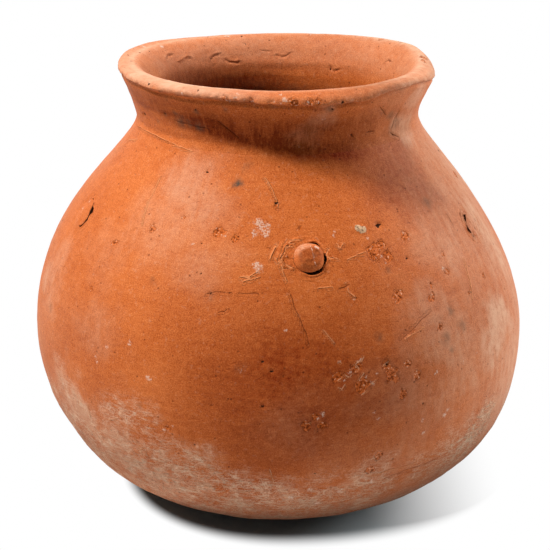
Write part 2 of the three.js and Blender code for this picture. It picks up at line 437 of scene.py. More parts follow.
def near(row, column, reach):
    """Skin points about a place, as index arrays, with their distances from it."""
    rows = int(math.ceil(reach / NECK_STEP))
    spacing = (SKIN_AZIMUTH[(column + 1) % COLUMNS] - SKIN_AZIMUTH[column]) % (2 * math.pi)
    width = max(np.hypot(*FORM[row, column, :2]), 20 * MM) * spacing
    across = min(int(math.ceil(reach / width)) + 1, COLUMNS // 2 - 1)
    i = np.arange(max(row - rows, 0), min(row + rows + 1, len(SKIN_PATH)))
    j = np.arange(column - across, column + across + 1) % COLUMNS
    index = np.ix_(i, j)
    return index, np.linalg.norm(FORM[index] - FORM[row, column], axis=-1)


def stamp(kind, row, column, radius, strength, depth, ragged, softness, seed):
    """One mark of a kind, with an uneven edge, cut to a depth."""
    index, away = near(row, column, radius * (1 + softness + ragged) + 1 * MM)
    away = away + ragged * np.minimum(away, radius) * rough(FORM[index], radius * 0.9, 60 + seed, 2)
    inside = 1 - smooth(radius * (1 - softness), radius * (1 + softness), away)
    tone[kind][index] = np.maximum(tone[kind][index], strength * inside)
    if depth:
        cut[index] += depth * inside * (0.75 + 0.25 * noise(FORM[index], 1.1 * MM, 80 + seed))


# Pits and blow holes: pixel and radius in millimetres
PITS = (
    (206.6, 173, 1.0), (276.5, 203.5, 1.3), (201.7, 244.2, 0.9), (192.5, 254.8, 0.6), (200.6, 272.5, 0.9),
    (128.6, 277, 0.7), (153.5, 280.5, 0.8), (211.2, 294.5, 0.9), (257.8, 300.8, 0.9), (265.5, 323, 0.7),
    (150.6, 322.5, 0.5), (180.9, 343.2, 0.6), (156.4, 341.5, 0.5), (136.6, 377.7, 0.9), (262.6, 362.2, 1.0),
    (258.9, 366, 0.7), (272, 371.6, 1.3), (283, 376.7, 0.8), (263, 405.6, 1.3), (211.6, 405.4, 0.8),
    (89.7, 227.1, 0.7), (106.3, 239.5, 0.6), (378.8, 224.8, 1.7), (406.5, 259.2, 1.1), (504.5, 288.2, 1.1),
    (501, 345.5, 0.8), (464.1, 330, 0.8), (440.8, 326.5, 0.9), (440.8, 319.6, 0.6), (422.7, 403.2, 1.2),
    (406, 423, 0.9), (258.9, 425, 0.8), (195, 445.2, 0.9), (229.8, 467.8, 0.9), (193.3, 472.7, 0.7),
    (315.5, 473.9, 0.9), (298.8, 471.1, 0.8), (297.9, 461, 0.7), (352, 135, 0.9), (369, 131.5, 0.8),
    (394, 135, 0.9), (381, 108, 0.8), (145, 114, 1.0), (143, 123, 0.9), (165, 113, 0.9), (196, 110, 0.9),
    (150, 84, 0.9), (387.4, 249, 0.9), (354.7, 322.7, 0.6), (425.3, 362.7, 0.7), (409, 316.2, 0.6),
    (386.6, 363.5, 1.0), (351, 366, 0.8), (344, 374, 0.7), (369, 372, 0.9), (310, 421, 0.7), (318, 431, 0.8),
    (277, 244, 0.6), (238, 309, 0.6), (330, 296, 0.6), (171, 300, 0.5), (107, 300, 0.5), (470, 370, 0.8),
    (456, 391, 0.8), (482, 312, 0.6), (417, 281, 0.6), (361, 281, 0.6), (326, 352, 0.7), (243, 436, 0.8),
    (352, 440, 0.8), (390, 440, 0.7), (170, 375, 0.6), (223, 352, 0.5), (119, 312, 0.5), (345, 207, 0.6),
    (294, 104.6, 1.0), (297, 104, 0.8), (253, 101.8, 0.8), (231, 101, 0.7), (310, 103.6, 0.7),
    (224, 99.6, 0.9), (250, 98.4, 0.8), (288, 97.5, 0.7), (333, 110, 1.0), (342.5, 101.5, 1.0),
    (330, 106.5, 0.8), (199, 91, 0.9),
)
THROAT_PITS = (
    (246, 44, 0.8), (243, 43.6, 0.7), (331, 70, 1.0), (389, 61, 0.9), (290, 58, 0.6), (357, 52, 0.6),
    (214, 65, 0.8),
)

# Chips that bare the orange clay under the skin
CHIPS = (
    (277.5, 206.5, 1.4), (220, 233, 2.2), (234.5, 240, 1.4), (152.7, 228, 1.5), (116, 242.6, 1.6),
    (405, 236, 1.8), (448.9, 272.7, 1.5), (442.5, 253.3, 0.9), (397.8, 294.5, 2.0), (398, 302, 1.5),
    (431.5, 297, 1.9), (392.6, 376.5, 2.8), (408, 362.5, 1.7), (416.5, 374.8, 1.8), (339.2, 378.2, 2.2),
    (363.3, 386, 3.0), (404.6, 394.5, 2.0), (357, 369, 2.4), (386, 365, 1.8), (322, 425.8, 1.8),
    (306, 426, 1.9), (378.4, 455.4, 1.7), (370.5, 471, 1.9), (168, 427.6, 1.5), (374, 252, 3.2),
    (387, 258, 2.2), (381, 246, 1.8), (440.8, 326.5, 1.4), (316, 416, 1.3), (469.2, 293.8, 0.9),
    (431, 285, 1.1), (355, 300, 1.0), (300, 228, 1.0), (184, 218, 0.9), (92, 288, 1.0), (484, 276, 1.0),
    (225.5, 100.0, 1.1), (251.5, 100.3, 1.0), (293, 102.0, 1.5), (309, 102.0, 1.4), (318, 101.3, 1.2),
)

# Lime deposits and pale flecks
LIME = (
    (258, 223, 1.6), (262, 227, 2.2), (266, 233, 1.7), (254.5, 233, 1.5), (268, 224, 1.0), (258, 266, 1.6),
    (259, 270, 1.3), (193, 245, 0.6), (335, 230, 0.6), (335, 235.6, 0.7), (368, 237.5, 0.7),
    (443.4, 268, 0.9), (286, 331, 0.6), (422.8, 432.8, 0.9), (147, 376.5, 1.2), (150, 379, 1.0),
    (107, 347, 0.9), (130, 342.5, 0.9), (96.2, 356, 0.6), (97, 361.2, 0.7), (437, 370.6, 0.9),
    (435, 375, 0.6), (477, 352.3, 0.6), (357, 362, 0.7), (349.5, 372, 0.8), (366, 378, 0.7), (344, 381, 0.6),
    (372, 383, 0.9), (323.5, 414, 1.0), (318, 418, 0.7), (339, 361.5, 0.6), (360, 360, 0.6), (377, 373, 0.6),
    (404, 233.5, 0.6), (409, 238, 0.5), (374, 411.5, 0.7), (377.5, 418, 0.8), (448, 410, 0.9),
    (445, 416, 1.1), (422, 421, 0.9), (464, 362, 0.7), (69, 395.6, 1.3), (63, 384, 1.0), (165, 430, 0.8),
    (172, 425, 0.7), (217, 229, 0.6), (224, 236.5, 0.7), (380, 256, 0.7), (372, 247, 0.6), (386, 262, 0.5),
    (371, 481, 1.2), (340, 492, 1.4), (310, 490, 1.3), (290, 497, 1.6), (318, 503, 1.4), (184, 94, 0.6),
    (226, 100.5, 0.6), (230, 102, 0.5), (238, 95.5, 0.6), (252, 100.5, 0.7), (281, 95.5, 0.8),
    (284.5, 100, 0.8), (297, 105.8, 0.6), (308, 103, 0.6), (318, 102, 0.5), (201, 90, 0.5), (150, 84, 0.5),
)
FAINT_LIME = (
    (330, 108, 1.6), (324, 118, 1.5), (298, 146, 1.5), (333, 121, 1.3), (240, 370, 2.0), (245, 369.5, 1.6),
)

# Curls of pale clay among the chips: pixels
CURLS = (
    ((363.5, 357.5), (360, 360.5), (358, 362)), ((356.5, 365.5), (359.5, 368.5), (358, 372)),
    ((337.5, 360.5), (341.5, 362.5)), ((346.8, 374.5), (349.5, 377), (351.5, 375)),
    ((365, 374), (361.5, 377), (358, 381)), ((339, 388), (341, 389.5), (345.5, 384.5)),
    ((338, 381), (341.5, 379)), ((361, 394), (365, 392)), ((371, 383.5), (374, 382)),
    ((322.5, 413), (324, 411)), ((305, 424), (309, 423.5)), ((384, 365), (388, 363)),
    ((187, 450.5), (196, 454.5), (203.5, 460)), ((139.5, 451), (143.5, 448), (148, 456)),
    ((148, 463.5), (155, 464), (162, 463)), ((167, 469.5), (172, 465.5)),
    ((119.5, 431), (126, 436), (131, 442)), ((223, 485), (236, 490), (249, 492.5)),
    ((269, 469.5), (271.5, 476), (274, 483.5)), ((126, 460), (138, 463.5)), ((206, 464.5), (209, 468.5)),
    ((77, 400), (79, 406), (80, 413)), ((58, 371.5), (61.5, 381.5), (65, 390)), ((110, 419.5), (118, 416.5)),
    ((182.5, 488.5), (196, 491)), ((197.5, 482.5), (206, 485.5), (214, 487.5)), ((88, 404), (91, 417)),
    ((135, 438), (140, 447), (142, 455)), ((96, 428), (104, 437)), ((240, 505), (252, 507)),
)

# Grit in the clay, and smudges of smoke with their strength
GRIT = ((358.6, 229, 1.4), (361.4, 229.8, 1.5), (363.6, 230.2, 1.2))
SMUDGES = (
    (237.3, 183.5, 1.7, 1.1), (247, 165.5, 2.2, 0.35), (181, 122, 2.4, 0.65), (199, 126, 2.2, 0.6),
    (176, 113, 1.1, 0.5), (196, 111, 1.1, 0.6), (165, 113, 1.2, 0.5), (158, 121, 1.1, 0.4),
    (166, 98, 1.0, 0.4), (190, 123.5, 1.4, 0.6), (226, 109, 1.2, 0.4), (272, 107, 1.0, 0.4),
    (330, 110, 1.4, 0.5), (383, 112, 1.3, 0.5), (427, 202, 2.0, 0.5), (379, 336, 1.6, 0.6),
    (446, 338.5, 2.2, 0.5), (451, 310.2, 1.8, 0.5), (463, 326, 2.4, 0.45), (388.3, 268.5, 1.3, 0.6),
    (140, 405, 1.2, 0.45), (240.6, 369, 2.2, 0.25), (50, 307.5, 1.6, 0.4), (211, 295, 1.9, 0.35),
    (153.5, 280, 1.6, 0.35), (391, 116, 2.0, 0.5), (397, 124, 2.0, 0.45), (452, 349, 1.4, 0.45),
    (387, 362, 1.2, 0.5),
)

# Dusty places, some of them painted sheen along the limbs and on the lit right side, patches of painted
# shade, and
# scraped ones: pixel, radius in millimetres and strength
BLOOMS_AND_SHEEN = (
    (194, 176, 10, 0.55), (186, 192, 10, 0.55), (200, 205, 9, 0.45), (46, 276, 9, 0.7), (52, 300, 9, 0.5),
    (64, 385, 9, 0.7), (70, 400, 8, 0.7), (505, 285, 10, 0.6), (500, 310, 12, 0.6), (488, 350, 14, 0.8),
    (478, 390, 14, 0.45), (440, 175, 12, 0.4), (300, 430, 14, 0.25), (352, 450, 15, 0.2),
    (420, 440, 16, 0.35), (404, 130, 9, 1.1), (420, 92, 9, 1.0), (470, 345, 14, 0.6), (497, 330, 14, 1.5),
    (60, 260, 9, 0.45), (322, 119, 5, 0.45), (304, 134, 5, 0.4), (300, 146, 4, 0.4), (331, 108, 3, 0.4),
    (160, 225, 16, 0.35), (200, 262, 11, 0.3), (95, 330, 14, 0.3), (110, 255, 12, 0.25), (452, 250, 16, 0.7),
    (450, 330, 18, 0.7), (402, 400, 16, 0.45), (380, 468, 13, 0.4), (450, 400, 16, 0.5), (80, 408, 10, 0.8),
    (118, 442, 10, 0.5), (130, 463, 9, 0.7), (165, 482, 11, 0.5), (468, 378, 14, 0.7),
)
# Patches of painted shade: on the shoulder beside the lip's shadow, and in the dim middle of the front
SHADE_PATCHES = ((396, 178, 15, 0.55), (415, 190, 13, 0.45), (370, 172, 10, 0.3), (345, 405, 18, 0.35))
SCUFFS = (
    (452, 457, 11, 1.5), (467, 443, 11, 1.6), (481, 424, 8, 1.4), (425, 470, 9, 0.7), (372, 480, 9, 1.0),
    (340, 499, 11, 1.0), (308, 501, 11, 1.1), (362, 497, 10, 0.9), (118, 414, 9, 0.7), (75, 402, 9, 0.8),
    (63, 383, 7, 0.6), (142, 425, 8, 0.7),
)

# Scratches, and ridges of dragged clay where the depth is below 0: pixels, half width and depth, in
# millimetres
SCRATCHES = (
    (((290.8, 294.5), (294.9, 306.7), (302, 322), (306.1, 334.3), (309.2, 343.5)), 0.24, 0.16),
    (((429.6, 312.9), (421.4, 320), (412.2, 329.2), (402, 340.4)), 0.26, 0.16),
    (((424.5, 326), (415.3, 331), (405, 338.4)), 0.22, -0.12),
    (((323.5, 330), (328, 336), (333.7, 343.5)), 0.2, -0.1),
    (((447, 213.5), (450.5, 220), (454, 226)), 0.22, 0.12),
    (((240, 293.5), (250, 294), (258, 295)), 0.22, 0.15),
    (((207, 293), (218, 292.6), (231, 292.4)), 0.2, 0.1),
    (((220.4, 310.8), (223.5, 310.4), (226.5, 309.8)), 0.2, 0.1),
    (((219.5, 121.5), (228, 129), (238, 137.8)), 0.4, 0.35),
    (((176, 121), (187, 123.3), (207, 128.4)), 0.3, 0.15),
    (((398.5, 113), (395, 119), (391.6, 128)), 0.28, 0.2),
    (((381.3, 108.4), (383, 111), (384.7, 114.5)), 0.3, 0.2),
    (((391.6, 133.7), (394, 135), (397.3, 136.6)), 0.35, 0.3),
    (((367.5, 132.5), (370, 132.2), (372.5, 131.6)), 0.3, 0.25),
    (((351, 134), (352.4, 135.6), (353.7, 137.1)), 0.3, 0.25),
    (((141.3, 110.7), (143, 113.5), (144.8, 116.4)), 0.3, 0.25),
    (((278.5, 244), (274.5, 248), (272.5, 254), (270.5, 259.5)), 0.24, -0.25),
    (((292, 246), (286, 247.5), (283.5, 253), (280, 259.5), (282, 263), (292, 267)), 0.26, -0.3),
    (((276, 258), (278.5, 262.5), (283, 266)), 0.24, -0.2),
    (((300, 239.5), (294, 241), (289, 243)), 0.22, -0.2),
    (((326.5, 257.7), (331, 257.5), (336.5, 257.8)), 0.2, -0.2),
    (((328.5, 248.5), (327, 252), (325.5, 254.5)), 0.22, -0.2),
    (((337, 243.5), (339, 249), (343, 244)), 0.2, -0.14),
    (((281, 266.5), (283.5, 273), (286.5, 279.5)), 0.2, -0.16),
    (((241, 277.5), (249, 276.5), (256, 273.5)), 0.22, -0.16),
    (((243, 281.5), (251, 280.5), (259, 277)), 0.22, -0.16),
    (((318, 288.5), (326, 288), (332, 286.5)), 0.2, -0.15),
    (((348, 259), (356, 256), (365, 253)), 0.22, -0.14),
    (((371, 256), (374, 259.5), (376.5, 262.5)), 0.24, 0.25),
    (((372, 252.5), (376, 256), (379, 259.5)), 0.24, 0.22),
    (((340.5, 288.5), (344, 287.5), (347, 286.5)), 0.26, 0.22),
    (((345, 284), (348.5, 292), (355, 297)), 0.22, -0.16), (((161, 179), (150, 200), (143, 222)), 0.2, -0.06),
    (((265, 178), (272, 190), (278, 206)), 0.18, -0.1),
    (((138.5, 126), (150, 132.5), (161, 137.5), (177, 144.5), (192, 152.5)), 0.2, -0.2),
    (((120, 149), (128, 140), (137, 139)), 0.18, -0.1), (((465, 262), (470, 280), (472, 300)), 0.2, -0.1),
    (((471.2, 231.5), (473.4, 234.5), (472.6, 238.7)), 0.26, 0.2),
    (((385, 478), (405, 470), (436, 459)), 0.24, 0.12), (((372, 476), (392, 470), (424, 461)), 0.24, -0.12),
)
THROAT_SCRATCHES = (
    (((166.6, 57.9), (168, 55.5), (172.3, 54.4)), 0.35, 0.4),
    (((179.2, 61.3), (183, 60.8), (187.5, 57.6), (190, 58.2)), 0.45, 0.5),
    (((210.2, 59.4), (213, 56), (218.5, 54.2)), 0.4, 0.45),
    (((226, 60), (229, 62.6), (236, 63.2), (239, 62)), 0.35, 0.4),
    (((277, 55.5), (282, 56.8), (286, 56), (291, 53)), 0.3, 0.35),
    (((262, 50.5), (265, 51.2), (270, 50.6)), 0.3, 0.2), (((330.7, 66), (333, 70.4), (338.8, 69)), 0.4, 0.4),
    (((386, 62), (388.5, 60.6), (391.5, 61)), 0.3, 0.3),
)

# How those marks are stamped: kind, places, size beside the radius, strength where a place gives none, depth
# in millimetres, raggedness and softness of the edge, and first seed
STAMPS = (
    ("bare", CHIPS, 0.95, 1, 0.3, 0.7, 0.6, 200),
    ("lime", LIME, 1.15, 0.85, -0.05, 0.5, 0.85, 300),
    ("lime", FAINT_LIME, 1, 0.42, 0, 0.5, 0.9, 350),
    ("grit", GRIT, 1, 1, -0.4, 0.15, 0.35, 400),
    ("soot", SMUDGES, 1, 1, 0.05, 0.5, 0.9, 500),
    ("dust", BLOOMS_AND_SHEEN, 1, 1, 0, 0.7, 0.95, 600),
    ("scuff", SCUFFS, 1, 1, 0, 0.7, 0.95, 650),
    ("fire", SHADE_PATCHES, 1, 1, 0, 0.7, 0.95, 700),
)

# How dark the painted shade in pits of a radius is, how plain lines are, and the half width and depth of a
# curl, in millimetres
PIT_RADII, PIT_DARKNESS = (0.5, 0.8, 1.0), (0.46, 0.56, 0.78)
PLAIN_LINE, THROAT_LINE, PALE_LINE = 1.0, 0.4, 1.4
CURL = (0.15, -0.10)

# Scattered marks: their number and seed, and the azimuth past which the photograph shows nothing
SCATTERED = 620
SCATTER_SEED = 17
HIDDEN_FROM = math.radians(82)


def scratch(pixels, half_width, depth, throat, shown):
    """A line cut into the skin through places seen at pixels, as plain as shown says."""
    ends = [spot(x, y, throat) for x, y in pixels]
    length = sum(float(np.linalg.norm(FORM[a] - FORM[b])) for a, b in zip(ends, ends[1:]))
    row, column = ends[len(ends) // 2]
    index, _ = near(row, column, 0.75 * length + 4 * MM)
    points, normals = FORM[index], NORMAL[index]
    nearest = np.full(points.shape[:2], np.inf)
    signed = np.zeros(points.shape[:2])
    for a, b in zip(ends, ends[1:]):
        start, run = FORM[a], FORM[b] - FORM[a]
        t = np.clip((points - start) @ run / (run @ run), 0, 1)
        offset = points - (start + t[..., None] * run)
        away = np.linalg.norm(offset, axis=-1)
        side = np.sign(np.sum(np.cross(run, offset) * normals, -1))
        closer = away < nearest
        nearest = np.where(closer, away, nearest)
        signed = np.where(closer, away * side, signed)
    wander = 0.35 * MM * noise(points, 3 * MM, 91)
    relative = (signed + wander) / (half_width * MM)
    take = (np.abs(relative) < np.abs(tone["line"][index])) & (nearest < 3.5 * MM)
    tone["line"][index] = np.where(take, np.clip(relative, -FAR_LINE, FAR_LINE), tone["line"][index])
    weight = math.copysign(shown, depth) * (1 - smooth(1.2 * MM, 2.4 * MM, nearest))
    tone["line_weight"][index] = np.where(take & (nearest < 2.4 * MM), weight, tone["line_weight"][index])
    groove = max(half_width * MM, 0.5 * MM)
    cut[index] += depth * MM * np.exp(-(((signed + wander) / groove) ** 2))
    if depth > 0:
        cut[index] -= 0.6 * depth * MM * np.exp(-(((signed + wander) / groove - 1.7) ** 2))


def seen_marks():
    """The marks that the photograph shows."""
    for throat, pits in ((False, PITS), (True, THROAT_PITS)):
        for k, (x, y, radius) in enumerate(pits):
            dark = float(np.interp(radius, PIT_RADII, PIT_DARKNESS))
            stamp("pit", *spot(x, y, throat), 0.65 * radius * MM, dark, 0.6 * radius * MM, 0.6, 0.6, k)
    for kind, places, size, strength, depth, ragged, softness, seed in STAMPS:
        for k, (x, y, radius, *own) in enumerate(places):
            shown = own[0] if own else strength
            stamp(kind, *spot(x, y), size * radius * MM, shown, depth * MM, ragged, softness, seed + k)
    for line in SCRATCHES:
        scratch(*line, False, PLAIN_LINE)
    for line in THROAT_SCRATCHES:
        scratch(*line, True, THROAT_LINE)
    for pixels in CURLS:
        scratch(pixels, *CURL, False, PALE_LINE)


def scattered_marks():
    """The same kinds of mark on the sides that the photograph doesn't show, and small pits all round."""
    random = np.random.default_rng(SCATTER_SEED)
    for k in range(SCATTERED):
        row = int(random.integers(8, len(SKIN_PATH) - 40))
        column = int(np.argmin(np.abs(SKIN_AZIMUTH - random.uniform(-math.pi, math.pi))))
        radius = float(np.clip(random.lognormal(-0.75, 0.35), 0.28, 1.2)) * MM
        kind = random.random()
        if abs(SKIN_AZIMUTH[column]) <= HIDDEN_FROM:
            stamp("pit", row, column, 0.55 * radius, 0.5, 0.4 * radius, 0.5, 0.6, k)
        elif kind < 0.55:
            stamp("pit", row, column, radius, 1, 0.7 * radius, 0.6, 0.6, k)
        elif kind < 0.75:
            stamp("bare", row, column, radius * 3, 1, 0.3 * MM, 0.7, 0.45, k)
        elif kind < 0.9:
            stamp("lime", row, column, radius * 2.2, 0.95, -0.05 * MM, 0.5, 0.85, k)
        else:
            stamp("soot", row, column, radius * 3.5, 0.45, 0.05 * MM, 0.5, 0.9, k)


def bell(middle, width, value):
    """A bell of height 1 about a middle, both in millimetres."""
    return np.exp(-(((value - middle * MM) / (width * MM)) ** 2))


def joint_line():
    """The line where the collar was luted to the wall, plainest on the left."""
    shown = 0.25 + 0.75 * facing(-55, 40)
    away = PATH - NECK_JOINT + 1.2 * MM * waves(16, 33)
    groove = bell(0, 0.9, away) * shown * (0.7 + 0.3 * waves(5, 34))
    cut[...] += 0.05 * MM * groove
    cut[...] -= 0.10 * MM * bell(1.6, 1.1, away) * shown
    lay("lime", 0.4 * groove * (0.6 + 0.6 * waves(3, 35)))


def lip_wear():
    """Small chips and rubbed clay along the ridge of the lip, and painted shade in the hollow under it."""
    ridge = bell(0, 1.3, FROM_EDGE)
    chipped = 0.25 + 0.75 * facing(-6, 34)
    nicks = smooth(0.15, 0.6, waves(2.6, 51)) * ridge * chipped
    cut[...] += 0.9 * MM * nicks + 0.6 * MM * ridge * chipped * smooth(0.1, 0.5, waves(1.6, 52))
    rolled = hump(-1.0 * MM, 1.5 * MM, FROM_EDGE) * (0.4 + 0.6 * chipped)
    lay("bare", np.maximum(0.6 * nicks, 0.42 * rolled))
    edge = bell(0.3, 1.0, FROM_EDGE) * facing(-6, 32)
    lay("lime", 0.8 * edge * smooth(0.25, 0.55, waves(1.3, 55)))
    lay("soot", 0.4 * edge * smooth(0.35, 0.6, waves(1.4, 56)))
    # Painted shade in the hollow under the lip's edge
    under = bell(-1.2, 0.7, FROM_EDGE) * (0.5 + 0.5 * facing(28, 40))
    lay("soot", 0.85 * under * smooth(-0.4, 0.3, waves(5, 54)))
    lay("scuff", 0.35 * ridge * (0.5 + 0.6 * waves(3, 53)))


# Lower edge of the painted shadow and smoke on the neck, and height up to which painted shade darkens the
# foot of the body, in millimetres under their azimuths in degrees, as the front shows them. Dust on the body,
# with painted sheen on its sides, is given as a share.
SMOKE_AND_SHADOW_EDGE = (
    (-180, -85, -66, -49, -40, -29, -19, -11, 0, 8, 23, 35, 50, 180),
    (200, 192, 183, 182, 180.5, 178.5, 176.3, 174.3, 171.8, 169.5, 167, 166, 168, 200),
)
SHADED_FOOT_TOP = (
    (-180, -100, -60, -35, -20, -8, 10, 20, 40, 55, 80, 130, 180),
    (44, 40, 22, 22, 38, 43, 46, 51, 65, 74, 70, 52, 44),
)
DUST_AND_SHEEN_SHARE = (
    (-180, -140, -85, -66, -48, -25, 12, 25, 42, 58, 75, 130, 180),
    (0.6, 0.5, 0.4, 0.26, 0.10, 0.04, 0, 0.05, 0.36, 0.80, 1.0, 0.9, 0.6),
)
# How much painted shade lies down the throat
DEEP_SHADE = 0.18
# The most that dust and painted sheen may show
PALEST = 1.4


def clear_of_shade(azimuth):
    """How far the throat is clear of painted shade, from 0 on the left at the back to 1 on the right."""
    return smooth(math.radians(5), math.radians(50), turn_between(azimuth, math.radians(-152)))


def firing_and_shading():
    """Painted shade: low on the front, in the lip's shadow on the neck, where soot also darkens it, on the
    lip's right face and down the throat.
    """
    # Painted shade in the dim middle of the front, between the lamps' light
    belly = 0.80 * facing(7, 40) * hump(84 * MM, 62 * MM, HEIGHT) * (0.85 + 0.3 * rugged(26, 75))
    # Painted shadow of the lip on the neck, darkest along its lower edge, where the clay is also smoked
    above = HEIGHT - np.interp(DEGREES, *SMOKE_AND_SHADOW_EDGE) * MM + 1.2 * MM * rugged(8, 78)
    higher = 4.5 * MM * facing(-58, 52)
    under_lip = (1 - smooth(RIDGE_PATH - 13 * MM, RIDGE_PATH - 4 * MM, PATH - higher)) * (PATH < CREST_PATH)
    front = facing(-4, 90) + 0.12 * facing(-12, 28) - 0.10 * facing(34, 26)
    smoke_and_shadow = 0.88 * smooth(-2 * MM, 4 * MM, above) + 0.50 * hump(4 * MM, 7 * MM, above)
    neck = under_lip * front * smoke_and_shadow * (0.85 + 0.3 * rugged(14, 76))
    # Painted shade on the lip's right face
    on_lip = smooth(RIDGE_PATH - 1 * MM, RIDGE_PATH + 1 * MM, PATH) * (1 - IN_THROAT)
    shaded = 0.40 * on_lip * facing(38, 30)
    # Painted shade down the throat, deepest on the left at the back
    clear = clear_of_shade(AZIMUTH)
    lit = 6 * MM * clear - 6.5 * MM * facing(-122, 36)
    deep = 0.72 * smooth(CREST_PATH + 17 * MM + lit, THROAT_END + 0.3 * lit, PATH) * (1 - 0.9 * clear)
    lay("fire", np.clip(belly * (1 - ON_NECK) + neck + deep + shaded, 0, 1))
    lay("soot", DEEP_SHADE * smooth(CREST_PATH + 16 * MM + lit, THROAT_END, PATH) * (1 - clear))


def foot_shade():
    """Painted shade low on the body, thinning out from the foot upwards."""
    top = np.interp(DEGREES, *SHADED_FOOT_TOP) * MM + 3 * MM * rugged(12, 79)
    lay("foot_shade", 1 - smooth(14 * MM, top, HEIGHT))


def dusting():
    """Pale bloom on the sides of the body, on the lip and round the throat, partly painted: sheen along the
    limbs and the right side, and highlight on the lip's lit face and at the back of the throat.
    """
    # Dust on the body, with painted sheen on the right side and along the limbs
    bloom_and_sheen = np.interp(DEGREES, *DUST_AND_SHEEN_SHARE) * (1 - IN_THROAT) * (0.8 + 0.4 * rugged(25, 72))
    bloom_and_sheen = bloom_and_sheen * (1 - 0.75 * hump(150 * MM, 45 * MM, HEIGHT) * facing(-58, 50)) * (1 - 0.2 * ON_NECK)
    lip = smooth(RIDGE_PATH - 1 * MM, RIDGE_PATH + 2 * MM, PATH)
    lip = lip * (1 - smooth(10 * MM, 24 * MM, PATH - CREST_PATH))
    ends = np.abs(np.sin(AZIMUTH)) ** 1.5 * (1 - 0.6 * IN_THROAT)
    throat = (0.20 + 0.18 * facing(-170, 50)) * IN_THROAT
    crest = 0.35 * hump(CREST_PATH - 0.5 * MM, 2.5 * MM, PATH)
    # Dust on the lip and in the throat, with painted highlight where the lip faces the key lamp and at the
    # back of the throat
    rubbed = 0.10 + 0.85 * facing(-38, 50) + throat + crest + 0.48 * ends
    lay("dust", bloom_and_sheen + lip * rubbed * (1 + 0.2 * rugged(12, 77)))
    np.clip(tone["dust"], 0, PALEST, out=tone["dust"])


seen_marks()
scattered_marks()
joint_line()
lip_wear()
firing_and_shading()
foot_shade()
dusting()
TONE_STACK = np.stack([tone[kind] for kind in TONES], -1)
SOUND = FORM + NORMAL * (relief() - cut)[..., None]
SOUND[..., 2] = np.maximum(SOUND[..., 2], 0)


# Studs: each head is a pressed pellet, and its bed the luting clay smeared round it

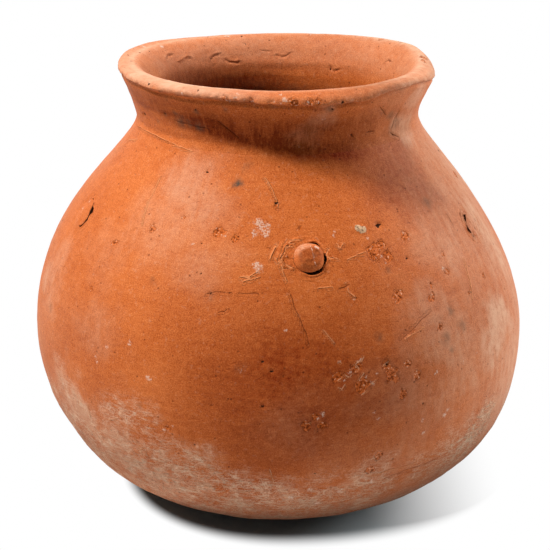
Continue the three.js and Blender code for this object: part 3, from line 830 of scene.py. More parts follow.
class Stud:
    """A stud's place and shape, by turns counted from the front to the right and up the wall.

    proud is how far the middle of the head stands out and rim how far its edge does. lean lifts one side
    of the head. Each opening is a crack between head and bed, each lobe a bulge of the head's outline, each
    smear a tongue of the bed: the way it faces in degrees, half its width, and its size in millimetres.
    climb is the share of the head's side that the bed covers, edge how far the head is rounded at its edge,
    in millimetres, and uneven how far its outline strays from a circle. A head that is rubbed and lit is
    nearly clean of dust, has its edge rounded off sooner on the side that faces the key lamp, a painted
    highlight on that side of its rim and painted shade over the rest of its face. A flush one is covered by
    its bed at the edge, apart from the cracks. Each spot is a pale grain on the head: its place across and
    up, and its radius, in millimetres.
    """

    HEAD_STEPS = 26
    SIDE_STEPS = 6
    BED_STEPS = 34
    TURNS = 144
    DEPTH = 3.2 * MM
    BED_WIDTH = 4.2 * MM
    SHARP = 70
    ragged, lobes, cracked, climb, edge, uneven = 0.3, (), 0, 1, 0.9, 1
    rubbed, flush, spots = False, False, ()

    def __init__(self, name, azimuth, lift, spread, proud, rim, **shape):
        self.name, self.spread, self.proud, self.rim = name, spread, proud, rim
        vars(self).update(shape)
        self.azimuth = math.radians(azimuth)
        self.path = path_at(STUD_RING_HEIGHT + lift * STUD_RADIUS)
        self.radius = float(on_line(self.path)[0])
        self.turns = np.linspace(-math.pi, math.pi, self.TURNS, endpoint=False)
        self.cos, self.sin = np.cos(self.turns), np.sin(self.turns)
        self.circle = np.stack([self.cos, self.sin, np.full_like(self.turns, self.seed)], -1)
        stray = 0.22 * MM * noise(self.circle, 0.8, 120) + 0.12 * MM * noise(self.circle, 0.35, 121)
        self.outline = spread * STUD_RADIUS + self.uneven * stray + self.swell(self.lobes)
        self.side = np.cos(turn_between(math.radians(self.lean[0]), self.turns)) * self.lean[1] * MM

    def swell(self, terms):
        """Lengths by turn, swelling where each term faces."""
        return sum((s * MM * towards(d, half, self.turns) for d, half, s in terms), np.zeros(self.TURNS))

    def laid(self, across, up):
        """Places, normals and tones of the sound skin, at distances across and up from the stud's middle."""
        row = np.interp(self.path + up, SKIN_PATH, np.arange(len(SKIN_PATH)))
        column = np.interp(self.azimuth + across / self.radius, SKIN_AZIMUTH, np.arange(COLUMNS))
        i, j = np.floor(row).astype(int), np.floor(column).astype(int)
        u, v = (row - i)[..., None], (column - j)[..., None]

        def between(grid):
            low = grid[i, j] * (1 - v) + grid[i, (j + 1) % COLUMNS] * v
            high = grid[i + 1, j] * (1 - v) + grid[i + 1, (j + 1) % COLUMNS] * v
            return low * (1 - u) + high * u

        return between(SOUND), unit(between(NORMAL)), between(TONE_STACK)

    def ring(self, shell, distance, rise, **marks):
        """A ring about the stud's middle, at distances from it and rises above the skin, both by turn."""
        points, normals, tones = self.laid(distance * self.cos, distance * self.sin)
        for kind, values in marks.items():
            tones[:, TONES.index(kind)] = values
        return shell.ring(points + normals * np.asarray(rise * np.ones(self.TURNS))[:, None], tones)

    def recess(self):
        """The wall under the head and bed is hollowed, so that cracks between them are deep."""
        row, column = np.argmin(np.abs(SKIN_PATH - self.path)), np.argmin(np.abs(SKIN_AZIMUTH - self.azimuth))
        reach = self.spread * STUD_RADIUS + 2.6 * MM
        index, away = near(int(row), int(column), reach + 2 * MM)
        return index, (self.DEPTH + 0.4 * MM) * (1 - smooth(reach - 1.4 * MM, reach, away))

    def head(self):
        """The pellet: a low dome with a rounded edge, closed underneath."""
        shell, rings = Shell(), []
        lit = towards(116, 75, self.turns)
        start = 0.60 - 0.15 * lit * self.rubbed
        for share in np.sin(np.linspace(0.04, 1, self.HEAD_STEPS) * math.pi / 2):
            crown = self.rim + (self.proud - self.rim) * (1 - share**2)
            edge = np.maximum(0.0, (share - start) / (1 - start)) ** 2
            across, up = share * self.outline * self.cos, share * self.outline * self.sin
            flat = np.stack([across, up, np.full_like(up, self.seed * 10 * MM)], -1)
            worked = 0.26 * MM * noise(flat, 3.4 * MM, 130) + 0.16 * MM * noise(flat, 1.3 * MM, 131)
            rise = (crown - self.edge * edge) * MM + self.side * share + worked
            hair = np.abs(across + 0.25 * up - 1.2 * MM - 0.25 * MM * np.sin(up / (1.6 * MM))) / (0.4 * MM)
            pale = self.cracked * np.clip(1.15 - hair, 0, 1) * (np.abs(up) < 4.2 * MM)
            for x, y, radius in self.spots:
                away = np.hypot(across - x * MM, up - y * MM) / (radius * MM)
                pale = np.maximum(pale, np.clip(1.5 - away, 0, 1))
            clean = {"line": FAR_LINE, "pit": 0, "bare": 0, "soot": 0, "lime": pale}
            # A head that is rubbed and lit gets a painted highlight (dust and scuff) on the rim that faces
            # the key lamp, and painted shade (fire) over the rest of its face
            if self.rubbed:
                worn = smooth(0.56 - 0.14 * lit, 0.90 - 0.18 * lit, share)
                clean.update(dust=0.05 + 0.4 * worn * lit, fire=0.40 * (1 - worn), scuff=0.7 * worn * lit)
                clean.update(soot=np.clip(0.45 * noise(flat, 1.9 * MM, 133), 0, 0.3) * (1 - worn))
            rings.append(self.ring(shell, share * self.outline, rise, **clean))
        # The head's side, down in the cracks, is painted dark with the pits' shade
        for drop in np.linspace(0.15, 1, self.SIDE_STEPS):
            rise = ((self.rim - self.edge) * MM + self.side) * (1 - drop) - self.DEPTH * drop
            bulge = self.outline * (1 + 0.015 * math.sin(math.pi * drop))
            rings.append(self.ring(shell, bulge, rise, lime=0, line=FAR_LINE, pit=1))
        middle, normal, _ = self.laid(np.zeros(1), np.zeros(1))
        shell.strip(rings)
        shell.cap(rings[0], middle[0] + normal[0] * self.proud * MM, True)
        shell.cap(rings[-1], middle[0] - normal[0] * self.DEPTH, False)
        return shell.build(f"{self.name}_stud_head", self.SHARP)

    def bed(self):
        """The smeared luting clay: a ring that climbs to the head, torn on one side, and fades outwards."""
        shell, top = Shell(), []
        broken = np.clip(1 + self.ragged * rough(self.circle, 0.5, 124), 0.05, 1.8)
        opening = self.swell(self.openings) * broken
        smeared = self.swell(self.smears)
        inner = self.outline + 0.05 * MM + opening
        if self.flush:
            inner = inner - 0.35 * MM * (1 - np.clip(opening / (0.3 * MM), 0, 1))
        outer = self.outline + self.BED_WIDTH + smeared
        gap = np.clip(opening / (0.5 * MM), 0, 1)
        meeting = np.maximum(0, (self.rim - self.edge) * MM + self.side)
        joined = self.climb * meeting * (1 - gap) + 0.25 * MM * gap
        wide = np.clip(smeared / (3 * MM), 0, 1)
        for share in np.linspace(0, 1, self.BED_STEPS) ** 1.25:
            distance = inner + (outer - inner) * share
            arc = np.stack([distance, self.turns * 7 * MM, np.full_like(distance, self.seed * 10 * MM)], -1)
            ridges = np.clip(crests(arc, (2.3 * MM, 7 * MM, 1), 140) * 1.9 - 1.15, 0, 1)
            crumbs = rough(arc, 1.5 * MM, 141, 2)
            tearing = self.torn * MM * (wide * (0.75 * ridges + 0.22 * crumbs) + (1 - wide) * 0.16 * crumbs)
            fade = 1 - smooth(0.62, 1.0, share)
            climb = joined * (1 - smooth(0.0, 0.42, share))
            lip = gap * (0.10 if self.flush else 0.20) * MM * hump(0.16, 0.16, share)
            start = smooth(0, 0.12, share) if self.flush else 1
            rise = fade * (climb + lip + start * (tearing + 0.10 * MM)) - 0.12 * MM * smooth(0.8, 1.0, share)
            bare = fade * wide * np.clip(0.1 + 0.7 * crumbs, 0, 0.6)
            top.append(self.ring(shell, distance, rise, bare=bare))
        depths = np.linspace(1, 0.12, self.SIDE_STEPS)
        # The bed's inner walls, down in the cracks, are painted dark with the pits' shade
        walls = [self.ring(shell, inner * (1 - 0.01 * d), -self.DEPTH * d, pit=min(1, 3 * d)) for d in depths]
        under = self.ring(shell, outer, -0.5 * MM)
        shell.strip(walls + top + [under] + walls[:1])
        return shell.build(f"{self.name}_stud_bed_skin", self.SHARP)


STUDS = (
    Stud(
        "front", 8.6, 0.05, 1.04, 3.5, 2.4,
        lean=(135, 0.5), openings=((-74, 60, 1.25), (-8, 30, 1.4), (64, 44, 0.8)),
        lobes=((90, 60, -0.5), (-90, 60, -0.4)),
        smears=((168, 65, 5.0),), torn=0.9, cracked=0.75, climb=0.15, edge=1.8, rubbed=True,
        spots=((2.6, 3.4, 0.8), (3.4, 3.0, 0.6)), seed=1,
    ),
    Stud(
        "right", 67.8, -0.5, 1.0, 0.4, 0.35,
        lean=(140, 0.1), openings=((140, 40, 2.5), (186, 30, 1.9), (228, 16, 0.7)), ragged=1.0,
        lobes=((130, 48, -1.5), (66, 25, 0.8)), smears=((10, 60, 1.0),), torn=0.3, edge=0.3, uneven=1.5,
        flush=True, seed=2,
    ),
    Stud(
        "rear_right", 141, 0.0, 1.0, 2.6, 1.5,
        lean=(60, 0.25), openings=((-80, 80, 0.7),), smears=((100, 50, 2.5),), torn=0.8, seed=3,
    ),
    Stud(
        "rear_left", -144, 0.15, 1.02, 2.4, 1.4,
        lean=(-30, 0.3), openings=((120, 70, 0.6),), smears=((-90, 50, 2.5),), torn=0.8, seed=4,
    ),
    Stud(
        "left", -68, 0.33, 1.07, 0.6, 0.5,
        lean=(-20, 0.25), openings=((6, 50, 3.0), (-44, 30, 0.7), (56, 18, 0.8), (84, 16, 0.5)), ragged=0.8,
        lobes=((-36, 42, 1.0), (22, 40, -0.8)), smears=((170, 60, 1.0),), torn=0.3, edge=0.3, uneven=1.2,
        spots=((-1.5, 4.6, 0.6), (-3.0, 0.5, 0.6)), flush=True, seed=5,
    ),
)
SURFACE = SOUND.copy()
for stud in STUDS:
    where, hollow = stud.recess()
    SURFACE[where] -= NORMAL[where] * hollow[..., None]


# Meshes

def placed(name, data):
    """A new object in the scene."""
    item = bpy.data.objects.new(name, data)
    bpy.context.scene.collection.objects.link(item)
    return item


class Shell:
    """A closed mesh made of rings of points with tones, bridged one to the next."""

    def __init__(self):
        self.points = []
        self.tones = []
        self.faces = []
        self.count = 0

    def ring(self, points, tones):
        first = self.count
        self.points.append(np.asarray(points))
        self.tones.append(np.asarray(tones))
        self.count += len(points)
        return np.arange(first, self.count)

    def bridge(self, a, b):
        """Faces between two rings, where one may have a whole multiple of the other's points."""
        step_a = max(1, len(a) // len(b))
        step_b = max(1, len(b) // len(a))
        for k in range(min(len(a), len(b))):
            edge_a = [a[(k * step_a + i) % len(a)] for i in range(step_a + 1)]
            edge_b = [b[(k * step_b + i) % len(b)] for i in range(step_b + 1)]
            self.faces.append([int(v) for v in edge_a + edge_b[::-1]])

    def strip(self, rings):
        for a, b in zip(rings, rings[1:]):
            self.bridge(a, b)

    def cap(self, ring, centre, flip):
        tones = np.concatenate(self.tones)[ring].mean(axis=0)
        tip = int(self.ring([centre], [tones])[0])
        for k in range(len(ring)):
            edge = [int(ring[k]), int(ring[(k + 1) % len(ring)]), tip]
            self.faces.append(edge[::-1] if flip else edge)

    def build(self, name, sharp=40):
        mesh = bpy.data.meshes.new(name)
        mesh.from_pydata(np.concatenate(self.points).tolist(), [], self.faces)
        values = np.concatenate(self.tones)
        for k, kind in enumerate(TONES):
            layer = mesh.attributes.new(kind, "FLOAT", "POINT")
            layer.data.foreach_set("value", values[:, k].astype(np.float32))
        mesh.shade_smooth()
        mesh.set_sharp_from_angle(angle=math.radians(sharp))
        return placed(name, mesh)


UNDER_RINGS = (18 * MM, 6 * MM)
FLOOR_MIDDLE = 5 * MM


def lining(shell, path):
    """One ring of the jar's inside or underside, with fewer points; inside, painted shade darkens it the
    deeper it lies.
    """
    azimuth = columns(LINING_COLUMNS)
    tones = np.zeros((LINING_COLUMNS, len(TONES)))
    tones[:, TONES.index("line")] = FAR_LINE
    if path > CREST_PATH:
        # Painted shade down the inside, darker the deeper it lies and on the left at the back
        depth = smooth(THROAT_END - 3 * MM, THROAT_END + 24 * MM, path)
        smoky_shade = 1 - clear_of_shade(azimuth) * (1 - depth)
        tones[:, TONES.index("fire")] = 0.07 + (0.65 + 0.28 * depth) * smoky_shade
        tones[:, TONES.index("soot")] = DEEP_SHADE * smoky_shade + (0.9 - DEEP_SHADE) * depth
    else:
        tones[:, TONES.index("scuff")] = 1
    return shell.ring(formed(np.full_like(azimuth, path), azimuth), tones)


def skin_rings(shell, first, last):
    return [shell.ring(SURFACE[k], TONE_STACK[k]) for k in range(first, last + 1)]


def base_bowl():
    shell = Shell()
    outside = skin_rings(shell, 0, len(BASE_ROWS) - 1)
    inner_rows = rows_between(path_at(BASE_JOINT_TOP, True), LINE_PATH[-1] - FLOOR_MIDDLE, LINING_STEP)
    inside = [lining(shell, p) for p in inner_rows]
    under = [lining(shell, p) for p in UNDER_RINGS]
    shell.strip(under[::-1] + outside + inside)
    shell.cap(under[-1], formed(np.zeros(1), np.zeros(1))[0], True)
    shell.cap(inside[-1], formed(LINE_PATH[-1:], np.zeros(1))[0], False)
    return shell.build("base_bowl_skin")


def body_wall():
    shell = Shell()
    first = len(BASE_ROWS) - 1
    outside = skin_rings(shell, first, first + len(WALL_ROWS) - 1)
    inner_rows = rows_between(path_at(NECK_JOINT_TOP, True), path_at(BASE_JOINT_TOP, True), LINING_STEP)
    rings = outside + [lining(shell, p) for p in inner_rows]
    shell.strip(rings + rings[:1])
    return shell.build("body_wall_skin")


def neck_collar():
    shell = Shell()
    rings = skin_rings(shell, len(BASE_ROWS) + len(WALL_ROWS) - 2, len(SKIN_PATH) - 1)
    shell.strip(rings + rings[:1])
    return shell.build("neck_collar_skin")


# Materials

class Graph:
    """The node tree of a material or world, with short ways to add to it."""

    def __init__(self, owner):
        owner.use_nodes = True
        self.owner = owner
        self.tree = owner.node_tree

    def node(self, name):
        return self.tree.nodes[name]

    def add(self, kind, inputs, output=0, **settings):
        node = self.tree.nodes.new(kind)
        for key, value in settings.items():
            setattr(node, key, value)
        for key, value in inputs.items():
            self.feed(node.inputs[key], value)
        return node.outputs[output]

    def feed(self, socket, value):
        if isinstance(value, bpy.types.NodeSocket):
            self.tree.links.new(value, socket)
        else:
            socket.default_value = value

    def math(self, operation, a, b=0.0, c=0.0):
        return self.add("ShaderNodeMath", {0: a, 1: b, 2: c}, operation=operation)

    def times(self, first, *others):
        """The product of values."""
        for other in others:
            first = self.math("MULTIPLY", first, other)
        return first

    def linear(self, value, slope, offset):
        return self.math("MULTIPLY_ADD", value, slope, offset)

    def total(self, *terms):
        """The sum of values, each times its weight."""
        value = 0.0
        for part, weight in terms:
            value = self.linear(part, weight, value)
        return value

    def step(self, low, high, value):
        inputs = {"Value": value, "From Min": low, "From Max": high}
        return self.add("ShaderNodeMapRange", inputs, interpolation_type="SMOOTHSTEP")

    def mix(self, factor, a, b, blend="MIX"):
        inputs = {0: factor, 6: a, 7: b}
        return self.add("ShaderNodeMix", inputs, 2, data_type="RGBA", blend_type=blend)

    def shade(self, factor, a, b):
        """A multiplied by b, as far as the factor says."""
        return self.mix(factor, a, b, "MULTIPLY")

    def noise(self, place, scale, detail=2.0, roughness=0.5, squeeze=None):
        """Noise with so many cells to a metre, and more along the axes that are squeezed."""
        place = self.vector("MULTIPLY", place, squeeze) if squeeze else place
        inputs = {"Vector": place, "Scale": scale, "Detail": detail, "Roughness": roughness}
        return self.add("ShaderNodeTexNoise", inputs)

    def specks(self, place, scale, size, spread, share):
        """Specks in cells, so many to a metre, where a broader noise lets them show."""
        cells = self.add("ShaderNodeTexVoronoi", {"Vector": place, "Scale": scale}, "Distance")
        return self.times(self.step(*size, cells), self.step(*share, self.noise(place, spread, 1)))

    def vector(self, operation, a, b=(0, 0, 0), output=0):
        return self.add("ShaderNodeVectorMath", {0: a, 1: b}, output, operation=operation)

    def turned(self, place):
        """Places as a direction from the axis and a rise up the wall, so that strokes run round the jar."""
        flat = self.vector("MULTIPLY", place, (1, 1, 0))
        rise = self.math("SUBTRACT", self.add("ShaderNodeSeparateXYZ", {0: place}, "Z"), BELLY_HEIGHT)
        slope = self.math("ARCTAN2", rise, self.vector("LENGTH", flat, output="Value"))
        upwards = self.add("ShaderNodeCombineXYZ", {"Z": slope})
        whole = self.vector("ADD", self.vector("NORMALIZE", flat), upwards)
        return self.vector("MULTIPLY", whole, (BELLY_RADIUS,) * 3)

    def shown_to(self):
        """1 for rays from the camera, and 1 for all that see the background, also off mirrors or in glass."""
        path = self.tree.nodes.new("ShaderNodeLightPath")
        mirrored = self.math("MAXIMUM", path.outputs["Is Glossy Ray"], path.outputs["Is Transmission Ray"])
        return path.outputs["Is Camera Ray"], self.math("MAXIMUM", path.outputs["Is Camera Ray"], mirrored)

    def outlined(self, value, width):
        """Fine lines where a value passes one half."""
        return self.step(width, 0.2 * width, self.math("ABSOLUTE", self.math("SUBTRACT", value, 0.5)))

    def tone(self, name):
        return self.add("ShaderNodeAttribute", {}, "Fac", attribute_name=name)


DEEP = (0.34, 0.064, 0.0105, 1)
MIDDLE = (0.50, 0.116, 0.023, 1)
BRIGHT = (0.65, 0.190, 0.051, 1)
# The fired tones below darken smoked clay and painted shade alike
FIRED_AND_SHADED = (0.38, 0.155, 0.03, 1)
BLOOM_AND_SHEEN = (0.63, 0.34, 0.21, 1)
SCRAPE = (0.77, 0.51, 0.345, 1)
STROKE = (0.84, 0.58, 0.40, 1)
CHALK = (0.76, 0.60, 0.48, 1)
FRESH = (0.64, 0.130, 0.018, 1)
SMOKE_AND_SHADE = (0.09, 0.055, 0.035, 1)
STONE = (0.58, 0.35, 0.20, 1)
DRAGGED_AND_LIT = (0.78, 0.30, 0.12, 1)
HOLE_SHADE = (0.045, 0.017, 0.008, 1)
SMOKED_AND_SHADED = (0.34, 0.205, 0.065, 1)
SPECK = (0.58, 0.40, 0.30, 1)
FOOT_SHADE = (0.36, 0.34, 0.32, 1)
SHADOW = (0.35, 0.29, 0.25, 1)
FLECKS = (0.72, 0.64, 0.57, 1)
GLOSS = 0.06


def clay(name, roughness, mottling, scraping, brushing=0.45, patchy=0.14, fired_and_shaded=FIRED_AND_SHADED):
    """Fired clay: clouded tone, grain, wiping streaks, specks, and the tones marked on the mesh.

    The dust lies in brushed strokes as far as brushing says, and in softer patches as patchy grows, and so
    does the painted sheen that the dust tone carries. Where smoked clay and painted shade are darkest, the
    clay turns to the fired tone given.
    """
    g = Graph(bpy.data.materials.new(name))
    shader = g.node("Principled BSDF")
    place = g.add("ShaderNodeTexCoord", {}, "Object")
    turned = g.turned(place)
    mottle = g.noise(place, 270, 3, 0.55)
    grain = g.noise(place, 2300, 1)
    fleck = g.noise(place, 640)
    streak = g.noise(turned, 60, 4, 0.6, (1, 1, 9))
    brush = g.noise(turned, 50, 3, 0.5, (6, 6, 1))

    # Tone of the sound clay, under dust with painted sheen, and under smoke with painted shade
    clouds = g.total((g.noise(place, 13), 0.7), (g.noise(place, 48, 3), 0.6), (streak, 0.55))
    level = g.total((clouds, 1), (mottle, 0.40 * mottling), (grain, 2.1 * mottling))
    middle = 0.5 * (0.7 + 0.6 + 0.55 + 2.5 * mottling)
    colour = g.mix(g.step(middle - 0.55, middle, level), DEEP, MIDDLE)
    colour = g.mix(g.step(middle, middle + 0.65, level), colour, BRIGHT)
    # Dust, with painted sheen and highlight
    dusty = g.total((brush, brushing), (mottle, 0.8 - brushing), (grain, 0.20))
    dusty = g.linear(g.step(0.48 - patchy, 0.48 + patchy, dusty), 0.75, 0.25)
    colour = g.mix(g.times(g.tone("dust"), dusty), colour, BLOOM_AND_SHEEN)
    # Smoked clay and painted shade, rippled and mottled
    ripple = g.math("SUBTRACT", g.noise(turned, 330, 6, 0.8, (1, 1, 1.6)), 0.5)
    fire = g.tone("fire")
    colour = g.shade(g.linear(g.times(fire, ripple), 2.6, fire), colour, fired_and_shaded)
    smoky_shade = g.step(0.54, 0.72, g.noise(place, 480, 4, 0.65))
    colour = g.shade(g.times(smoky_shade, fire, 0.6), colour, SHADOW)
    kept = g.step(0.56, 0.72, g.noise(place, 560, 3, 0.65, (1.3, 1.3, 1)))
    kept = g.times(kept, g.math("SUBTRACT", fire, g.tone("soot")))
    colour = g.mix(g.times(g.math("MAXIMUM", kept, 0.0), 0.22), colour, MIDDLE)

    # Scraped clay, in pale patches and strands, with fine strokes that curl this way and that
    bend = g.add("ShaderNodeTexNoise", {"Vector": place, "Scale": 60.0}, "Color")
    curled = g.vector("ADD", turned, g.vector("MULTIPLY", bend, (0.03, 0.03, 0.03)))
    level_strokes = g.outlined(g.noise(curled, 100, 1, 0.5, (1, 1, 3.4)), 0.022)
    steep_strokes = g.outlined(g.noise(curled, 80, 1, 0.5, (2.4, 2.4, 1)), 0.016)
    patches = g.step(0.40, 0.66, g.total((g.noise(place, 110, 5, 0.7), 0.7), (mottle, 0.3)))
    strands = g.step(0.46, 0.66, g.noise(turned, 170, 5, 0.72, (1, 1, 6)))
    hatching = g.step(0.50, 0.62, g.noise(turned, 260, 4, 0.7, (2, 2, 6)))
    worn = g.total((patches, 0.42), (strands, 0.50), (hatching, 0.40), (grain, 0.7), (0.42, -1))
    scuff = g.times(g.tone("scuff"), worn, scraping)
    colour = g.mix(g.math("MINIMUM", g.math("MAXIMUM", scuff, 0.0), 1.0), colour, SCRAPE)
    strokes = g.times(g.math("MAXIMUM", level_strokes, steep_strokes), g.linear(patches, 0.6, 0.15))
    strokes = g.math("MINIMUM", g.times(strokes, g.tone("scuff")), 0.85)
    colour = g.mix(strokes, colour, STROKE)
    # Painted shade low on the body
    colour = g.shade(g.times(g.tone("foot_shade"), g.linear(mottle, 0.6, 0.7)), colour, FOOT_SHADE)

    # Dark and pale specks, the pale ones kept off smoked clay and painted shade
    sound = g.math("SUBTRACT", 1.0, fire)
    dark_speck = g.specks(place, 330, (0.20, 0.08), 260, (0.53, 0.63))
    pale_speck = g.specks(place, 430, (0.18, 0.06), 190, (0.58, 0.68))
    colour = g.shade(g.times(dark_speck, 0.8), colour, SHADOW)
    colour = g.mix(g.times(pale_speck, sound, 0.22), colour, SPECK)
    colour = g.shade(g.times(g.step(0.44, 0.28, fleck), 0.38), colour, FLECKS)
    colour = g.mix(g.times(g.step(0.58, 0.78, fleck), sound, 0.20), colour, BLOOM_AND_SHEEN)

    # Marks: chips with painted shade at their brinks and among their crumbs, lime, soot with painted shade,
    # and pits, then scratches with painted shade in their grooves, dragged ridges with a painted highlight,
    # and pale curls
    uneven = g.linear(g.noise(place, 1100, 3, 0.6), 1.1, -0.55)
    powder = g.linear(g.noise(place, 1250, 4, 0.75), 3.4, -1.7)
    crumbs = g.noise(place, 950, 3, 0.7)
    chip = g.math("ADD", g.tone("bare"), uneven)
    bare = g.step(0.36, 0.60, chip)
    brink = g.times(g.step(0.16, 0.36, chip), g.step(0.56, 0.38, chip), g.step(0.12, 0.40, g.tone("bare")))
    lime = g.step(0.45, 1.0, g.math("ADD", g.tone("lime"), powder))
    lime = g.times(lime, g.step(0.10, 0.55, g.tone("lime")))
    soot = g.times(g.tone("soot"), g.step(0.25, 0.6, mottle))
    pit = g.step(0.40, 0.62, g.linear(uneven, 0.4, g.tone("pit")))
    grit = g.step(0.40, 0.60, g.linear(uneven, 0.4, g.tone("grit")))
    away = g.math("ABSOLUTE", g.tone("line"))
    side = g.times(g.tone("line_weight"), g.step(0.26, 0.44, g.noise(place, 420)))
    dragged = g.math("MAXIMUM", g.times(side, -1.0), 0.0)
    groove = g.times(g.step(1.3, 0.3, away), g.math("MAXIMUM", side, 0.0))
    ridge = g.times(g.step(2.0, 0.2, away), g.math("MINIMUM", dragged, 1.0))
    curl = g.times(g.step(1.8, 0.4, away), g.step(1.0, 1.8, dragged))
    colour = g.mix(g.times(bare, 0.48), colour, FRESH)
    # Painted shade at the chips' brinks and among their crumbs
    colour = g.shade(g.times(brink, 0.45), colour, SHADOW)
    colour = g.shade(g.times(bare, g.step(0.50, 0.40, crumbs)), colour, SHADOW)
    colour = g.mix(g.times(bare, g.step(0.57, 0.66, crumbs), 0.65), colour, SCRAPE)
    colour = g.mix(g.times(lime, 0.55), colour, CHALK)
    colour = g.mix(grit, colour, g.mix(g.step(0.30, 0.54, crumbs), SMOKE_AND_SHADE, STONE))
    # Soot, and painted shade under the lip and down the throat
    colour = g.mix(soot, colour, SMOKE_AND_SHADE)
    colour = g.shade(g.times(groove, 0.55), colour, SHADOW)
    # Dragged ridges, lightened with a painted highlight where they catch the lamp
    colour = g.mix(g.times(ridge, 0.55), colour, DRAGGED_AND_LIT)
    colour = g.mix(g.times(curl, 0.5), colour, STROKE)
    # Pits, and the walls of the studs' cracks, are painted dark with shade
    g.feed(shader.inputs["Base Color"], g.mix(pit, colour, HOLE_SHADE))
    shader.inputs["Specular IOR Level"].default_value = GLOSS

    # Sheen of the wiped skin, dull where it is scraped, chipped or pitted
    dull = g.math("MAXIMUM", g.math("MAXIMUM", bare, lime), g.math("MAXIMUM", pit, scuff))
    gloss = g.linear(mottle, 0.22, roughness - 0.11)
    g.feed(shader.inputs["Roughness"], g.linear(dull, 0.25, gloss))

    # Fine relief, in millimetres
    surface = g.total((mottle, 0.20), (grain, 0.12), (streak, 0.10), (fleck, 0.09), (dark_speck, -0.10))
    chipped = g.total((g.times(bare, crumbs), 0.6), (bare, -0.5), (lime, 0.05), (pit, -0.3))
    scored = g.total((g.times(scuff, hatching), 0.20), (g.times(scuff, grain), 0.2))
    height = g.total((surface, 1), (chipped, 1), (scored, 1), (strokes, 0.10), (groove, -0.25), (ridge, 0.38))
    bump = {"Height": height, "Distance": 1 * MM, "Strength": 0.9}
    g.feed(shader.inputs["Normal"], g.add("ShaderNodeBump", bump))
    return g.owner


def dress(piece, node, material):
    piece.data.materials.append(material)
    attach(piece, "root")
    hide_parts(node)


# Clays: roughness, mottling and scraping, and where they differ brushing, patchiness and the tone of smoked
# clay and painted shade
base_clay = clay("scraped_clay", 0.70, 1.3, 1.15)
wall_clay = clay("body_clay", 0.58, 1.0, 1.1, 0.38, 0.22)
collar_clay = clay("neck_clay", 0.62, 1.1, 0.7, 0.10, 0.42, SMOKED_AND_SHADED)
stud_clay = clay("stud_clay", 0.60, 0.9, 0.7)
luting_clay = clay("luting_clay", 0.66, 1.1, 0.7)
dress(base_bowl(), "base_bowl", base_clay)
dress(body_wall(), "body_wall", wall_clay)
dress(neck_collar(), "neck_collar", collar_clay)
for stud in STUDS:
    dress(stud.head(), f"{stud.name}_stud", stud_clay)
    dress(stud.bed(), f"{stud.name}_stud_bed", luting_clay)


# Stage, light and camera: the shadow's place on the floor, and the floor's colours in it and round it

FLOOR_SIDE = 6.0
SHADOW_MIDDLE = (0.0071, 0.0026, 0.0)
SHADOW_CORE = 75 * MM
SHADOW_END = 83 * MM
SHADOW_BLUR = 6.5 * MM
SHADOW_BLURRED = (-65 * MM, 20 * MM)
SHADOW_STRETCH = 0.80
SHADOW_FADE = (-10 * MM, 75 * MM)
SHADOW_SIDE = (38 * MM, 108 * MM)
# Camera-only colours of the floor in the shadow: bluish near the jar, against the orange light that it
# throws, and grey further right
DARK_FLOOR = (0.56, 0.78, 0.86, 1)
GREY_FLOOR = (0.46, 0.48, 0.49, 1)
PALE_FLOOR = (0.68, 0.68, 0.68, 1)
DIM = (0.05, 0.05, 0.05, 1)
WHITE = (1, 1, 1, 1)

# Lamps: azimuth from the front to the right and elevation in degrees, distance and side in metres, and power
LAMPS = {"key": (-69, 57, 1.3, 0.25, 23), "fill": (106, 24, 1.3, 0.7, 16.5), "top": (20, 82, 1.2, 1.0, 2.5)}


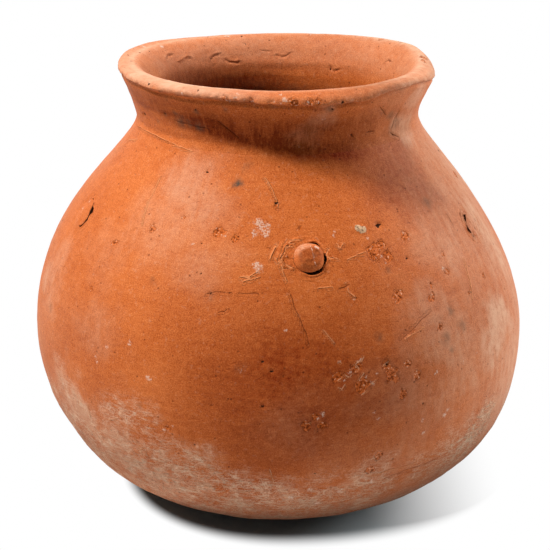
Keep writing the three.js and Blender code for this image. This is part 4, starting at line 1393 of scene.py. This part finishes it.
def floor():
    """A pale floor that keeps the jar's shadow inside a painted outline, and is plain white to the camera
    further off.
    """
    side = FLOOR_SIDE
    mesh = bpy.data.meshes.new("floor")
    corners = [(-side, -side, 0), (side, -side, 0), (side, side, 0), (-side, side, 0)]
    mesh.from_pydata(corners, [], [(0, 1, 2, 3)])
    plane = placed("floor", mesh)
    g = Graph(bpy.data.materials.new("floor"))
    g.tree.nodes.remove(g.node("Principled BSDF"))
    to_camera, shown = g.shown_to()
    place = g.add("ShaderNodeTexCoord", {}, "Object")
    sideways = g.add("ShaderNodeSeparateXYZ", {0: place}, "X")
    shaded = g.mix(g.step(*SHADOW_FADE, sideways), DARK_FLOOR, GREY_FLOOR)
    matt = g.add("ShaderNodeBsdfDiffuse", {"Color": g.mix(to_camera, PALE_FLOOR, shaded)})
    # The shadow's outline and its fading to the right are painted: beyond them the floor glows plain white to
    # the camera, so the real shadow shows only inside
    off = g.add("ShaderNodeSeparateXYZ", {0: g.vector("SUBTRACT", place, SHADOW_MIDDLE)}).node.outputs
    longer = g.math("MINIMUM", off["X"], g.times(off["X"], SHADOW_STRETCH))
    away = g.vector("LENGTH", g.add("ShaderNodeCombineXYZ", {"X": longer, "Y": off["Y"]}), output="Value")
    core = g.linear(g.step(*SHADOW_BLURRED, sideways), -SHADOW_BLUR, SHADOW_CORE)
    paling = g.math("MAXIMUM", g.step(core, SHADOW_END, away), g.step(*SHADOW_SIDE, sideways))
    white = g.add("ShaderNodeEmission", {})
    both = g.add("ShaderNodeMixShader", {0: g.times(paling, shown), 1: matt, 2: white})
    g.feed(g.node("Material Output").inputs["Surface"], both)
    mesh.materials.append(g.owner)


def area_light(name, azimuth, elevation, distance, size, power):
    """A soft lamp that faces the jar."""
    lamp = bpy.data.lights.new(name, "AREA")
    lamp.energy = power
    lamp.shape = "RECTANGLE"
    lamp.size = lamp.size_y = size
    light = placed(name, lamp)
    turn, rise = math.radians(azimuth), math.radians(elevation)
    out = distance * math.cos(rise)
    light.location = (out * math.sin(turn), -out * math.cos(turn), AIM_HEIGHT + distance * math.sin(rise))
    light.rotation_euler = (math.pi / 2 - rise, 0, turn)


def world_light():
    """Soft light from all round, and white where the camera sees past the floor."""
    g = Graph(bpy.data.worlds.new("studio"))
    bpy.context.scene.world = g.owner
    _, shown = g.shown_to()
    g.feed(g.node("Background").inputs["Color"], g.mix(shown, DIM, WHITE))


def camera():
    data = bpy.data.cameras.new("camera")
    data.sensor_width = SENSOR
    data.lens = SENSOR * FOCAL_PIXELS / PICTURE_SIDE
    view = placed("camera", data)
    view.location = EYE
    view.rotation_euler = (math.pi / 2 - CAMERA_PITCH, 0, 0)
    bpy.context.scene.camera = view


floor()
world_light()
for name, lamp in LAMPS.items():
    area_light(name, *lamp)
camera()
bpy.context.scene.view_settings.view_transform = "Standard"
